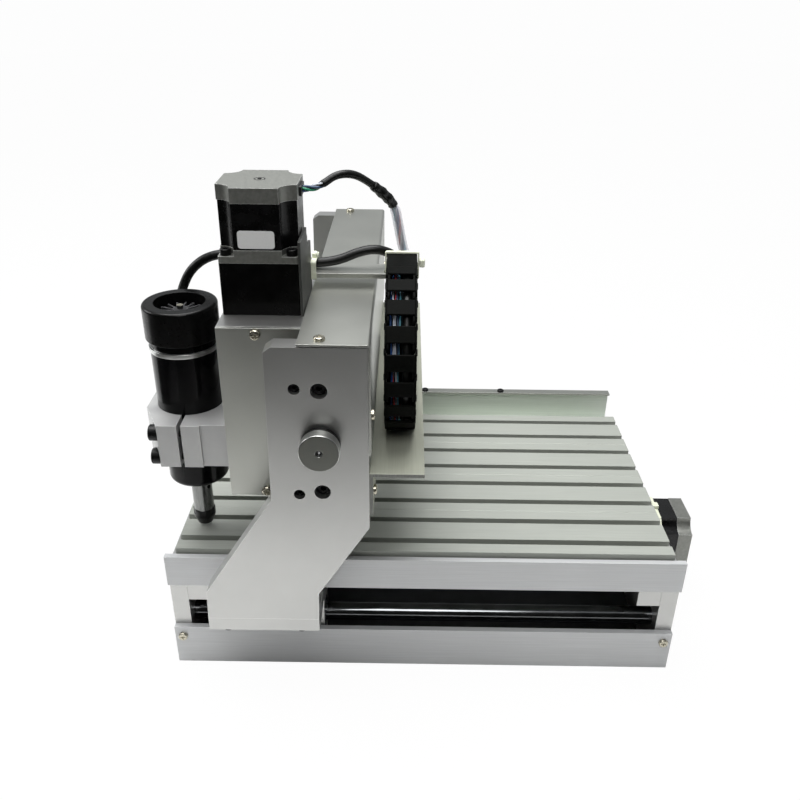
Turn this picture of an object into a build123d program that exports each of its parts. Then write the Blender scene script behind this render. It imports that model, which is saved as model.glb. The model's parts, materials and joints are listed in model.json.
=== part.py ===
from build123d import *
import math
import os

# Desktop CNC router: a T-slot table on a flat base, a gantry that travels along Y on two round
# rods, a carriage that travels along X on the gantry, and a motor-driven Z slide with a spindle.
# Millimetres. Origin: centre of the underside. +Z up, +Y towards the rear motor, +X towards the
# handwheel side.

# ---- driving dimensions ----
FIT = 0.05                    # radial clearance of running and assembly fits
SHEET = 1.5                   # folded sheet metal
SHANK_R = 2.4                 # M5 screws hold most plates
HOLE_R = SHANK_R + FIT

# table
TABLE_X = 240.0
TABLE_Y = 420.0
TABLE_T = 20.0
TABLE_TOP = 122.0
SLOT_PITCH = 30.0
SLOT_COUNT = 8
SLOT_MOUTH = 6.5
SLOT_LIP = 5.0
SLOT_CAVITY_X = 12.0
SLOT_CAVITY_Z = 7.0
GROOVE_X = (-60.0, 0.0, 60.0)
GROOVE = 0.6                  # side of the square cutter turned 45 degrees

# base
BASE_Y = 438.0
BASE_INNER_X = 242.0
RAIL_T = 5.0
RAIL_UPPER = (87.0, 117.0)    # bottom and top of the upper side rails
RAIL_LOWER = (0.0, 40.0)
FAR_RAIL_END = 209.0          # the far upper rail stops short of the rear
RAIL_SCREW_Y = 212.0
RAIL_SCREW_Z = 30.0
RAIL_SCREW_SHANK = 13.0
END_PLATE_T = 14.5
ROD_SEAT = 10.0               # depth of the Y rods' seats
SUPPORT_BAR_T = 20.0
SUPPORT_BAR_Z = 67.0
BOTTOM_T = 2.0

# Y drive
Y_ROD_R = 8.0
Y_ROD_X = 103.0
Y_ROD_Z = 41.0
Y_SCREW_Z = 57.5
Y_THREAD_END = 178.0
Y_JOURNAL_END = 196.0
Y_SHAFT_REACH = 22.0
SCREW_R = 6.0                 # all three lead screws
JOURNAL_R = 4.0
BEARING_R = 11.0
BEARING_T = 7.0

# cable tray on the far side: a folded channel along the base
TRAY_X = (-152.0, -126.0)
TRAY_Y = 209.0
TRAY_Z = (97.0, 137.6)
TRAY_T = 2.0
TRAY_LIP = 9.0
TRAY_SCREW_X = -147.0
TRAY_SCREW_Y = (4.0, 88.0)

# stepper motors and coupling housings
NEMA = 57.0                   # NEMA 23 frame
NEMA_BOLT = 47.14
NEMA_PILOT_R = 19.05
PILOT_T = 1.6
MOTOR_SHAFT_R = 3.175
MOTOR_FLANGE_T = 5.0
MOTOR_BELL_T = 9.4
MOTOR_STACK_T = 32.8
MOTOR_CAP_T = 10.8
Y_MOTOR_FLANGE_T = 4.5
Y_MOTOR_STACK_T = 23.5
Y_MOTOR_CAP_T = 13.0
STACK_HALF = 27.9
CORNER_CUT_R = 11.6           # concave cuts centred on the frame's corners
BLOCK_T = 39.0                # coupling housing between a motor and its plate
SHAFT_REACH = 20.0
COUPLING_LENGTH = 25.0
COUPLING_R = 9.0
MOTOR_TIE_Y = 229.0
TIE_W = 4.0
TIE_T = 1.2

# gantry
SIDE_X = 157.0                # inner face of a gantry side plate
SIDE_T = 15.0
SIDE_OUT = SIDE_X + SIDE_T
SIDE_TOP = 331.0
SIDE_BOTTOM = 93.5
SIDE_REAR = -44.0
CROSS_MID_Z = (75.0, 86.0)
CROSS_END_Z = (81.5, SIDE_BOTTOM)
CROSS_Y = (-173.7, -85.0)
CROSS_STEP_X = 127.5
FOOT_SCREW_Y = (-160.0, -100.0)
FOOT_SCREW_R = 2.5
FIXING_Y = -95.0
FIXING_Z = (213.4, 299.7)
FIXING_SINK = 8.0
FIXING_HEAD_R = 4.1
Y_BLOCK_LENGTH = 37.0
Y_BLOCK_STARTS = (-171.0, -124.0)
Y_BLOCK_X = (86.0, 120.0)
Y_BLOCK_BOTTOM = 20.0
Y_BEARING_R = 14.0
Y_NUT_Y = (-141.0, -117.0)
Y_NUT_FLANGE_R = 14.0
Y_NUT_FLANGE_T = 4.0

# X drive
X_AXIS_Y = -78.0              # plane of the X rods and the X screw
X_ROD_R = 6.0                 # the Z rods are the same
X_ROD_Z = (215.8, 298.4)
X_ROD_END = 162.0
ROD_SCREW_R = 2.5
ROD_SCREW_LENGTH = 12.0
X_SCREW_Z = 257.1
X_JOURNAL = (-188.0, 183.0)
WHEEL_R = 14.5
WHEEL_X = (177.5, 186.5)
HUB_R = 12.6
HUB_X = (173.0, 178.0)
SET_SCREW_R = 2.6

# gantry cover and chain shelf
COVER_TOP = 333.7
COVER_FRONT = -92.0
COVER_REAR = -42.2
COVER_BOTTOM = 248.0
COVER_BEND_R = 2.4
COVER_SCREW_Z = 277.0
COVER_SCREW_SHANK = 9.0
SHELF_TOP = 232.0
SHELF_T = 3.0
SHELF_Y = (-44.0, -3.7)
SHELF_BOTTOM = 196.0
SHELF_SCREW_Z = 214.0

# carriage and Z box
CAR_X = 86.0                  # X centre of the carriage, spindle and Z motor
CAR_BLOCK_HALF = 50.0
CAR_BLOCK_Y = (-93.0, -63.0)
CAR_BLOCK_Z = (203.0, 312.0)
LM12_R = 10.5
LM12_LENGTH = 30.0
X_BEARING_STARTS = (40.0, 102.0)
NUT_R = 11.0
NUT_LENGTH = 40.0
Z_BOX_HALF = 53.0
Z_BOX_Y = (-153.0, -93.0)
Z_BOX_Z = (190.0, 330.6)
Z_COVER_T = 3.0
Z_PLATE_T = 10.0
Z_BACK_T = 8.0
Z_BOX_SCREW_Y = -125.0
Z_BOX_SCREW_Z = (194.5, 326.0)
Z_ROD_DX = 32.0
Z_ROD_SPAN = (195.0, 326.0)
Z_AXIS_Y = -123.5

# Z slide and spindle
SLIDE_BLOCK_HALF = 46.0
SLIDE_BLOCK_Y = (-140.0, -108.0)
SLIDE_BLOCK_Z = (206.0, 266.0)
SLIDE_BEARING_LENGTH = 29.0
SPINDLE_Y = -191.0
SPINDLE_R = 26.0
CLAMP_Z = (209.0, 245.5)
CLAMP_LEFT = 50.0
CLAMP_NECK_RIGHT = 128.0
CLAMP_RIGHT = 130.0
CLAMP_LUG_Y = (-208.0, -175.0)
CLAMP_FRONT = -223.0
CLAMP_SLIT = 3.0
CLAMP_SCREW_X = 122.5
CLAMP_SCREW_Z = (214.5, 235.5)
CLAMP_SCREW_R = 3.0
CLAMP_HEAD_R = 6.4
NOSE_BOTTOM = 175.5
NOSE_R = 24.5
BARREL_TOP = 293.0
RING_TOP = 296.5
RING_R = 26.8
NECK_R = 25.0
CAP_Z = (303.0, 330.0)
CAP_R = 28.5
CAP_BORE_R = 19.5
CAP_FLOOR = 4.0
SHAFT_R = 8.5
SHAFT_Z = (141.5, 300.0)
SHAFT_BORE = 25.0             # clearance above the collet for the tool shank
SHAFT_TIP_R = 2.5
SHAFT_TIP_Z = 327.0
PIN_HOLE_Z = 164.6
PIN_HOLE_R = 1.8
PIN_HOLE_TURN = 57.0
COLLET_R = 1.5875
COLLET_HEAD_R = 9.2
COLLET_TIP_R = 6.3
COLLET_TIP_Z = 127.0
COLLET_NUT_Z = 134.5          # top of the nut's cone
FAN_Z = (312.0, 324.0)
FAN_HUB_R = 5.5
FAN_BLADES = 16
FAN_TIP_R = 17.5

# drag chain: from its moving end along the upper run, round the bend and back on the shelf
CHAIN_W = 24.0
CHAIN_H = 15.0
CHAIN_WALL = 2.5
CHAIN_PITCH = 18.0
CHAIN_GAP = 6.7               # opening between two links
CHAIN_LINKS = 20
CHAIN_PLAIN = 2               # pitches taken up by the closed end connector
CHAIN_Y = -22.3
CHAIN_START_X = 48.0
CHAIN_BEND_R = 56.25
CHAIN_BEND_X = 90.0
CHAIN_LOW_Z = SHELF_TOP + CHAIN_H / 2
CHAIN_HIGH_Z = CHAIN_LOW_Z + 2 * CHAIN_BEND_R

# cable bracket behind the Z motor, with an arm over the cover to the drag chain
BRACKET_Y = (-95.0, -93.0)
BRACKET_X = (56.0, 116.0)
BRACKET_EAR_X = 78.0
BRACKET_TOP = 386.0
ARM_X = (36.0, 60.0)
ARM_Z = (340.4, 344.4)
LEAD_TIE_Y = -90.9
CHAIN_TIE_X = CHAIN_START_X + 6

# leads: control points of their centre lines
LEAD_D = 6.0                  # Z motor lead
MOTOR_LEAD_ROUTE = [(86, -95, 416), (86, -87, 416), (82.5, -79, 418.5), (78.5, -70, 424.5),
                    (72, -58, 424), (65.5, -46.5, 416), (59, -36, 406), (53, -28.5, 396.5),
                    (47.5, -25.5, 380), (42, -23, 365), (41.5, -20.5, 355), (48, -18.5, 352)]
SPINDLE_LEAD_D = 7.5
SPINDLE_LEAD_ROUTE = [(58.3, -198, 318), (50.5, -200, 318), (45, -199, 326), (43, -191, 341),
                      (43.5, -175, 352.5), (45, -153, 355), (46, -130, 352.5), (46.5, -108, 349),
                      (47, -89, 348.4), (46, -72, 350.5), (45, -57, 357), (44, -44, 359.5),
                      (41, -33.5, 356), (41, -28.2, 352.5), (48, -27, 352)]


# ---- helpers ----
def block(x, y, z):
    """Box between two limits on each axis."""
    size = (x[1] - x[0], y[1] - y[0], z[1] - z[0])
    return Pos((x[0] + x[1]) / 2, (y[0] + y[1]) / 2, (z[0] + z[1]) / 2) * Box(*size)


def rod_x(y, z, x, r):
    return Pos((x[0] + x[1]) / 2, y, z) * Rot(0, 90, 0) * Cylinder(r, x[1] - x[0])


def rod_y(x, z, y, r):
    return Pos(x, (y[0] + y[1]) / 2, z) * Rot(90, 0, 0) * Cylinder(r, y[1] - y[0])


def rod_z(x, y, z, r):
    return Pos(x, y, (z[0] + z[1]) / 2) * Cylinder(r, z[1] - z[0])


def both(reach):
    """The limits either side of zero."""
    return (-reach, reach)


def span(start, end):
    """Two limits in rising order."""
    return (min(start, end), max(start, end))


def group(pieces):
    return Compound(children=list(pieces))


def emit(name, shape):
    export_step(shape, f"parts/{name}.step")


def pan_head(r=4.0, height=2.6, shank_r=SHANK_R, shank=8.0):
    """Cross-recess pan-head screw, head up, seated on z=0."""
    head = Pos(0, 0, height / 2) * Cylinder(r, height)
    head = fillet(head.edges().group_by(Axis.Z)[-1], height * 0.45)
    cross = Pos(0, 0, height) * (Box(4.4, 0.9, 2.2) + Box(0.9, 4.4, 2.2))
    return head - cross + Pos(0, 0, -shank / 2) * Cylinder(shank_r, shank)


def cap_screw(r=4.0, height=4.5, shank_r=SHANK_R, shank=13.0):
    """Hexagon-socket cap screw, head up, seated on z=0."""
    head = Pos(0, 0, height / 2) * Cylinder(r, height)
    head = chamfer(head.edges().group_by(Axis.Z)[-1], r * 0.1)
    socket = Pos(0, 0, height) * extrude(RegularPolygon(r * 0.48, 6), height * 0.5, both=True)
    return head - socket + Pos(0, 0, -shank / 2) * Cylinder(shank_r, shank)


def facing(axis):
    """Turn from +Z to a named direction."""
    turns = {"+X": Rot(0, 90, 0), "-X": Rot(0, -90, 0), "+Y": Rot(-90, 0, 0), "-Y": Rot(90, 0, 0),
             "+Z": Rot(0, 0, 0), "-Z": Rot(180, 0, 0)}
    return turns[axis]


def bearing(r_out, r_in, length):
    """Plain ring on the Z axis from z=0 up."""
    return Pos(0, 0, length / 2) * (Cylinder(r_out, length) - Cylinder(r_in, length))


# ---- stepper motor, drawn along +Z from its mounting face ----
def motor_section(half):
    """Square frame, its corners cut back in a curve to make room for the mounting screws."""
    section = Rectangle(2 * half, 2 * half)
    for sx in (-1, 1):
        for sy in (-1, 1):
            section -= Pos(sx * NEMA / 2, sy * NEMA / 2) * Circle(CORNER_CUT_R)
    return section


def motor_bolts():
    half = NEMA_BOLT / 2
    return [(sx * half, sy * half) for sx in (-1, 1) for sy in (-1, 1)]


def motor_bell(flange, length):
    """Front end bell: a square flange with a pilot boss and bolt holes, and a cut-back shoulder."""
    bell = extrude(RectangleRounded(NEMA, NEMA, 1.5), flange)
    if length > flange:
        bell += Pos(0, 0, flange) * extrude(motor_section(NEMA / 2), length - flange)
    bell += Pos(0, 0, -PILOT_T / 2) * Cylinder(NEMA_PILOT_R, PILOT_T)
    bell -= Pos(0, 0, length / 2) * Cylinder(MOTOR_SHAFT_R + FIT, length + 5)
    for x, y in motor_bolts():
        bell -= Pos(x, y, flange / 2) * Cylinder(HOLE_R, flange + 1)
    return bell


def stepper(face, flange, bell, stack, cap):
    """Bell, laminated stack and end cap of a motor on its mounting face."""
    front = face * motor_bell(flange, bell)
    core = face * Pos(0, 0, bell) * extrude(motor_section(STACK_HALF), stack)
    rear = face * Pos(0, 0, bell + stack) * extrude(motor_section(NEMA / 2), cap)
    return [front, core, rear]


def long_stepper(face):
    return stepper(face, MOTOR_FLANGE_T, MOTOR_BELL_T, MOTOR_STACK_T, MOTOR_CAP_T)


def motor_screws(face):
    """Four cap screws through the motor's flange into the coupling housing."""
    screw = cap_screw(shank=MOTOR_FLANGE_T + 8)
    return [face * Pos(x, y, MOTOR_FLANGE_T) * screw for x, y in motor_bolts()]


def coupling_block():
    """Square housing with a through bore, drawn along +Z."""
    body = extrude(RectangleRounded(NEMA, NEMA, 1.5), BLOCK_T)
    body -= Pos(0, 0, BLOCK_T / 2) * Cylinder(NEMA_PILOT_R + FIT, BLOCK_T + 2)
    for x, y in motor_bolts():
        body -= Pos(x, y, BLOCK_T - 6) * Cylinder(HOLE_R, 14)
    return body


def coupling():
    """Clamp coupling: motor shaft bore in the upper half, journal bore in the lower half."""
    sleeve = Pos(0, 0, COUPLING_LENGTH / 2) * Cylinder(COUPLING_R, COUPLING_LENGTH)
    sleeve -= Pos(0, 0, COUPLING_LENGTH * 0.25) * Cylinder(JOURNAL_R, COUPLING_LENGTH / 2)
    sleeve -= Pos(0, 0, COUPLING_LENGTH * 0.75) * Cylinder(MOTOR_SHAFT_R, COUPLING_LENGTH / 2)
    slit = Pos(COUPLING_R / 2, 0, COUPLING_LENGTH / 2) * Box(COUPLING_R, 1.0, COUPLING_LENGTH)
    return sleeve - slit


def drive_coupling(face, reach):
    """Motor shaft and clamp coupling, reaching back from the mounting face."""
    inside = 3.5
    shaft = Pos(0, 0, (inside - reach) / 2) * Cylinder(MOTOR_SHAFT_R, reach + inside)
    sleeve = Pos(0, 0, -reach - COUPLING_LENGTH / 2) * coupling()
    return group([face * shaft, face * sleeve])


def motor_faces():
    """Mounting faces of the three motors."""
    y_face = Pos(0, BASE_Y / 2, Y_SCREW_Z) * facing("+Y")
    x_face = Pos(-(SIDE_OUT + BLOCK_T), X_AXIS_Y, X_SCREW_Z) * facing("-X")
    z_face = Pos(CAR_X, Z_AXIS_Y, Z_BOX_Z[1] + BLOCK_T)
    return y_face, x_face, z_face


# ---- base ----
def table_plate():
    plate = block(both(TABLE_X / 2), both(TABLE_Y / 2), (TABLE_TOP - TABLE_T, TABLE_TOP))
    lip = TABLE_TOP - SLOT_LIP
    run = both(TABLE_Y / 2 + 1)
    for i in range(SLOT_COUNT):
        x = (i - (SLOT_COUNT - 1) / 2) * SLOT_PITCH
        plate -= block((x - SLOT_MOUTH / 2, x + SLOT_MOUTH / 2), run, (lip - 1, TABLE_TOP + 1))
        plate -= block((x - SLOT_CAVITY_X / 2, x + SLOT_CAVITY_X / 2), run,
                       (lip - SLOT_CAVITY_Z, lip))
    for x in GROOVE_X:
        plate -= Pos(x, 0, TABLE_TOP) * Rot(0, 45, 0) * Box(GROOVE, TABLE_Y + 2, GROOVE)
    return plate


def end_plate(side):
    """Upright plate under the table end, side -1 at the front and +1 at the rear."""
    near = side * (BASE_Y / 2 - END_PLATE_T)
    far = side * BASE_Y / 2
    y = span(near, far)
    plate = block(both(BASE_INNER_X / 2), y, (0, TABLE_TOP - TABLE_T))
    for x in (-Y_ROD_X, Y_ROD_X):
        plate -= rod_y(x, Y_ROD_Z, span(near, near + side * ROD_SEAT), Y_ROD_R + FIT)
    for place in rail_screw_places():
        plate -= place * Cylinder(HOLE_R, 2 * RAIL_SCREW_SHANK)
    if side < 0:
        plate -= rod_y(0, Y_SCREW_Z, (near - BEARING_T, near), BEARING_R + FIT)
        plate -= rod_y(0, Y_SCREW_Z, y, JOURNAL_R + 1)
    else:
        plate -= rod_y(0, Y_SCREW_Z, y, NEMA_PILOT_R + FIT)
        for x, z in motor_bolts():
            plate -= rod_y(x, Y_SCREW_Z + z, (far - 10, far), HOLE_R)
    return plate


def rail_screw_places():
    """Seats of the screws that hold the lower side rails to the end plates."""
    places = []
    for side, turn in ((-1, "-X"), (1, "+X")):
        for y in both(RAIL_SCREW_Y):
            places.append(Pos(side * (BASE_INNER_X / 2 + RAIL_T), y, RAIL_SCREW_Z) * facing(turn))
    return places


def side_rails():
    rails = []
    for side, rear in ((-1, FAR_RAIL_END), (1, BASE_Y / 2)):
        x = span(side * BASE_INNER_X / 2, side * (BASE_INNER_X / 2 + RAIL_T))
        rails.append(block(x, (-BASE_Y / 2, rear), RAIL_UPPER))
        lower = block(x, both(BASE_Y / 2), RAIL_LOWER)
        for place in rail_screw_places():
            lower -= place * Cylinder(HOLE_R, 2 * RAIL_SCREW_SHANK)
        rails.append(lower)
    return group(rails)


def base_screws():
    """Screws of the lower rails, the cable tray and the Y motor."""
    screws = [place * pan_head(shank=RAIL_SCREW_SHANK) for place in rail_screw_places()]
    for y in TRAY_SCREW_Y:
        seat = Pos(TRAY_SCREW_X, y, TRAY_Z[1])
        screws.append(seat * pan_head(r=3.6, height=2.0, shank_r=2.0, shank=TRAY_T))
    for x, z in motor_bolts():
        seat = Pos(x, BASE_Y / 2 + Y_MOTOR_FLANGE_T, Y_SCREW_Z + z) * facing("+Y")
        screws.append(seat * pan_head(r=3.9, height=3.0, shank=Y_MOTOR_FLANGE_T + 9))
    return group(screws)


def table_support_bars():
    inner = BASE_Y / 2 - END_PLATE_T - SUPPORT_BAR_T
    outer = BASE_Y / 2 - END_PLATE_T
    z = (SUPPORT_BAR_Z, TABLE_TOP - TABLE_T)
    x = both(BASE_INNER_X / 2)
    return group([block(x, (-outer, -inner), z), block(x, (inner, outer), z)])


def bottom_plate():
    return block(both(BASE_INNER_X / 2), both(BASE_Y / 2 - END_PLATE_T), (0, BOTTOM_T))


def y_guide_rods():
    reach = BASE_Y / 2 - END_PLATE_T + ROD_SEAT
    return group([rod_y(x, Y_ROD_Z, both(reach), Y_ROD_R) for x in (-Y_ROD_X, Y_ROD_X)])


def y_screw_bearing():
    seat = Pos(0, -(BASE_Y / 2 - END_PLATE_T) - BEARING_T, Y_SCREW_Z) * facing("+Y")
    return seat * bearing(BEARING_R, JOURNAL_R + FIT, BEARING_T)


def y_leadscrew():
    front = -(BASE_Y / 2 - END_PLATE_T)
    screw = rod_y(0, Y_SCREW_Z, (front + 1, Y_THREAD_END), SCREW_R)
    return screw + rod_y(0, Y_SCREW_Z, (front - BEARING_T - 4, Y_JOURNAL_END), JOURNAL_R)


def tie_section(half, leg):
    """Square with its corners cut off straight."""
    section = Rectangle(2 * half, 2 * half)
    for sx in (-1, 1):
        for sy in (-1, 1):
            corner = Rot(0, 0, 45) * Rectangle(leg * math.sqrt(2), leg * math.sqrt(2))
            section -= Pos(sx * half, sy * half) * corner
    return section


def y_motor_tie():
    """Nylon tie pulled round the motor's stack, its head on top."""
    inner = STACK_HALF + FIT
    outer = inner + TIE_T
    band = tie_section(outer, 11.6) - tie_section(inner, 10.9)
    tie = Pos(0, MOTOR_TIE_Y, Y_SCREW_Z) * facing("+Y") * extrude(band, TIE_W / 2, both=True)
    top = Y_SCREW_Z + inner + 0.4
    return tie + block((-3.5, 3.5), (MOTOR_TIE_Y - 3, MOTOR_TIE_Y + 3), (top, top + 4.2))


def cable_tray():
    """Folded channel: a leg on the side rail, a floor, an upright wall and a top lip."""
    y = both(TRAY_Y)
    leg = block((TRAY_X[1] - TRAY_T, TRAY_X[1]), y, (TRAY_Z[0], RAIL_UPPER[1]))
    floor = block(TRAY_X, y, (TRAY_Z[0], TRAY_Z[0] + TRAY_T))
    wall = block((TRAY_X[0], TRAY_X[0] + TRAY_T), y, TRAY_Z)
    lip = block((TRAY_X[0], TRAY_X[0] + TRAY_LIP), y, (TRAY_Z[1] - TRAY_T, TRAY_Z[1]))
    tray = leg + floor + wall + lip
    for hole_y in TRAY_SCREW_Y:
        tray -= rod_z(TRAY_SCREW_X, hole_y, (TRAY_Z[1] - 4, TRAY_Z[1] + 1), 2.0 + FIT)
    return tray


# ---- gantry ----
def side_outline():
    """Side plate outline (y, z): an upright leaning forward to a foot at the table's edge."""
    return [(-114.7, 327.0), (-109.2, SIDE_TOP), (SIDE_REAR, SIDE_TOP), (SIDE_REAR, 184.0),
            (-84.3, 119.6), (CROSS_Y[1], SIDE_BOTTOM), (CROSS_Y[0], SIDE_BOTTOM),
            (-172.5, 120.0), (-116.2, 208.0)]


def side_plate(side):
    x = span(side * SIDE_X, side * SIDE_OUT)
    wire = Polyline(*[(x[0], y, z) for y, z in side_outline()], close=True)
    plate = extrude(make_face(wire), SIDE_T, dir=(1, 0, 0))
    for z in X_ROD_Z:
        plate -= rod_x(X_AXIS_Y, z, x, X_ROD_R + FIT)
    for z in FIXING_Z:
        plate -= rod_x(FIXING_Y, z, x, HOLE_R)
        sink = span(side * (SIDE_OUT - FIXING_SINK), side * SIDE_OUT)
        plate -= rod_x(FIXING_Y, z, sink, FIXING_HEAD_R + 0.1)
    plate -= rod_x(X_AXIS_Y, X_SCREW_Z, span(side * SIDE_X, side * (SIDE_X + BEARING_T)),
                   BEARING_R + FIT)
    plate -= rod_x(X_AXIS_Y, X_SCREW_Z, x, JOURNAL_R + 1)
    for y in FOOT_SCREW_Y:
        foot = (SIDE_BOTTOM - 1, SIDE_BOTTOM + 14)
        plate -= rod_z(side * (SIDE_X + SIDE_T / 2), y, foot, FOOT_SCREW_R + FIT)
    for place in cover_screw_places() + shelf_screw_places():
        plate -= place * Cylinder(HOLE_R, 24)
    if side < 0:
        for y, z in motor_bolts():
            plate -= rod_x(X_AXIS_Y + y, X_SCREW_Z + z, (x[0], x[0] + 12), HOLE_R)
    return plate


def cross_plate():
    """Plate under the table that joins the two side plates, stepped up outside the rails."""
    plate = block(both(CROSS_STEP_X + 7), CROSS_Y, CROSS_MID_Z)
    plate += block((CROSS_STEP_X, SIDE_OUT), CROSS_Y, CROSS_END_Z)
    plate += block((-SIDE_OUT, -CROSS_STEP_X), CROSS_Y, CROSS_END_Z)
    for x in both(SIDE_X + SIDE_T / 2):
        for y in FOOT_SCREW_Y:
            plate -= rod_z(x, y, (CROSS_END_Z[0] - 1, CROSS_END_Z[1] + 1), FOOT_SCREW_R + FIT)
    return plate


def y_block_places():
    return [(side, start) for side in (-1, 1) for start in Y_BLOCK_STARTS]


def y_bearing_blocks():
    blocks = []
    for side, start in y_block_places():
        x = span(side * Y_BLOCK_X[0], side * Y_BLOCK_X[1])
        y = (start, start + Y_BLOCK_LENGTH)
        body = block(x, y, (Y_BLOCK_BOTTOM, CROSS_MID_Z[0]))
        blocks.append(body - rod_y(side * Y_ROD_X, Y_ROD_Z, y, Y_BEARING_R + FIT))
    return group(blocks)


def y_linear_bearings():
    rings = []
    for side, start in y_block_places():
        turn = Pos(side * Y_ROD_X, start, Y_ROD_Z) * facing("+Y")
        rings.append(turn * bearing(Y_BEARING_R, Y_ROD_R + FIT, Y_BLOCK_LENGTH))
    return group(rings)


def y_nut():
    """Flanged nut in a block under the cross plate."""
    body = block((-18, 18), Y_NUT_Y, (42, CROSS_MID_Z[0]))
    flange = rod_y(0, Y_SCREW_Z, (Y_NUT_Y[0] - Y_NUT_FLANGE_T, Y_NUT_Y[0]), Y_NUT_FLANGE_R)
    bore = rod_y(0, Y_SCREW_Z, (Y_NUT_Y[0] - 9, Y_NUT_Y[1] + 7), SCREW_R + FIT)
    return body + flange - bore


def x_guide_rods():
    """Two rods, tapped in both ends for the screws that hold them in the side plates."""
    rods = []
    for z in X_ROD_Z:
        rod = rod_x(X_AXIS_Y, z, both(X_ROD_END), X_ROD_R)
        for end in (-X_ROD_END, X_ROD_END):
            tap = Pos(end, X_AXIS_Y, z) * Rot(0, 90, 0)
            rod -= tap * Cylinder(ROD_SCREW_R + FIT, 2 * ROD_SCREW_LENGTH + 2)
        rods.append(rod)
    return group(rods)


def x_screw_bearings():
    ring = bearing(BEARING_R, JOURNAL_R + FIT, BEARING_T)
    near = Pos(SIDE_X, X_AXIS_Y, X_SCREW_Z) * facing("+X") * ring
    far = Pos(-SIDE_X, X_AXIS_Y, X_SCREW_Z) * facing("-X") * ring
    return group([near, far])


def x_leadscrew():
    screw = rod_x(X_AXIS_Y, X_SCREW_Z, both(SIDE_X - 1), SCREW_R)
    return screw + rod_x(X_AXIS_Y, X_SCREW_Z, X_JOURNAL, JOURNAL_R)


def x_handwheel():
    """Round knob with a narrower hub and a set screw hole in its face."""
    grip = rod_x(X_AXIS_Y, X_SCREW_Z, WHEEL_X, WHEEL_R)
    grip = fillet(grip.edges(), 0.8)
    wheel = grip + rod_x(X_AXIS_Y, X_SCREW_Z, HUB_X, HUB_R)
    wheel -= rod_x(X_AXIS_Y, X_SCREW_Z, (HUB_X[0] - 3, X_JOURNAL[1]), JOURNAL_R)
    return wheel - rod_x(X_AXIS_Y, X_SCREW_Z, (X_JOURNAL[1] - 1, WHEEL_X[1] + 3), SET_SCREW_R)


def x_motor_block():
    return Pos(-SIDE_OUT, X_AXIS_Y, X_SCREW_Z) * facing("-X") * coupling_block()


def top_cover():
    """Folded cover: a roof over the X rods and a rear flange, its bend rounded."""
    half = SIDE_OUT + 1
    roof = block(both(half), (COVER_FRONT, COVER_REAR), (COVER_TOP - SHEET, COVER_TOP))
    flange = block(both(half), (COVER_REAR - SHEET, COVER_REAR), (COVER_BOTTOM, COVER_TOP))
    cover = roof + flange
    bend = cover.edges().filter_by(Axis.X).sort_by(lambda e: -e.center().Y - e.center().Z)[0]
    cover = fillet(bend, COVER_BEND_R)
    for place in cover_screw_places():
        cover -= place * Cylinder(HOLE_R, 8)
    return cover


def cover_screw_places():
    """Seats of the cover's screws: two on the roof and two on the rear flange."""
    x = SIDE_X + SIDE_T / 2
    roof = [Pos(side * x, X_AXIS_Y + 1, COVER_TOP) for side in (-1, 1)]
    rear = [Pos(side * x, COVER_REAR, COVER_SCREW_Z) * facing("+Y") for side in (-1, 1)]
    return roof + rear


def chain_shelf():
    """Angle bolted to the rear edges of the side plates: a shelf for the drag chain."""
    shelf = block(both(SIDE_OUT), SHELF_Y, (SHELF_TOP - SHELF_T, SHELF_TOP))
    shelf += block(both(SIDE_OUT), (SHELF_Y[0], SHELF_Y[0] + SHELF_T), (SHELF_BOTTOM, SHELF_TOP))
    for place in shelf_screw_places():
        shelf -= place * Cylinder(HOLE_R, 10)
    return shelf


def shelf_screw_places():
    x = SIDE_X + SIDE_T / 2
    return [Pos(side * x, SHELF_Y[0] + SHELF_T, SHELF_SCREW_Z) * facing("+Y") for side in (-1, 1)]


def cover_screws():
    screw = pan_head(shank=COVER_SCREW_SHANK)
    return group([place * screw for place in cover_screw_places() + shelf_screw_places()])


def side_plate_screws():
    """Cap screws sunk in the side plates, in the rod ends and up through the cross plate."""
    sunk = cap_screw(r=FIXING_HEAD_R, height=4.0, shank=6.5)
    rod_end = cap_screw(r=5.0, height=5.0, shank_r=ROD_SCREW_R, shank=ROD_SCREW_LENGTH)
    foot = cap_screw(r=4.2, shank_r=FOOT_SCREW_R, shank=24)
    pieces = []
    for side, turn in ((-1, "-X"), (1, "+X")):
        for z in FIXING_Z:
            seat = Pos(side * (SIDE_OUT - FIXING_SINK), FIXING_Y, z)
            pieces.append(seat * facing(turn) * sunk)
        for z in X_ROD_Z:
            pieces.append(Pos(side * X_ROD_END, X_AXIS_Y, z) * facing(turn) * rod_end)
        for y in FOOT_SCREW_Y:
            seat = Pos(side * (SIDE_X + SIDE_T / 2), y, CROSS_END_Z[0])
            pieces.append(seat * facing("-Z") * foot)
    return pieces


# ---- drag chain: a shelf run, a half turn and a run back to the carriage ----
def chain_place(distance):
    """Position and heading (x, z, degrees) along the chain from its moving end."""
    straight = CHAIN_BEND_X - CHAIN_START_X
    turn = math.pi * CHAIN_BEND_R
    if distance < straight:
        return CHAIN_START_X + distance, CHAIN_HIGH_Z, 0.0
    if distance < straight + turn:
        angle = (distance - straight) / CHAIN_BEND_R
        x = CHAIN_BEND_X + CHAIN_BEND_R * math.sin(angle)
        z = CHAIN_LOW_Z + CHAIN_BEND_R * (1 + math.cos(angle))
        return x, z, math.degrees(angle)
    return CHAIN_BEND_X - (distance - straight - turn), CHAIN_LOW_Z, 180.0


def chain_link(length):
    """One link: two cheeks, a floor and a bridge, open through the middle."""
    body = Box(length, CHAIN_W, CHAIN_H)
    body = chamfer(body.edges().filter_by(Axis.Y), CHAIN_WALL)
    return body - Box(length + 1, CHAIN_W - 2 * CHAIN_WALL, CHAIN_H - 2 * CHAIN_WALL)


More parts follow.
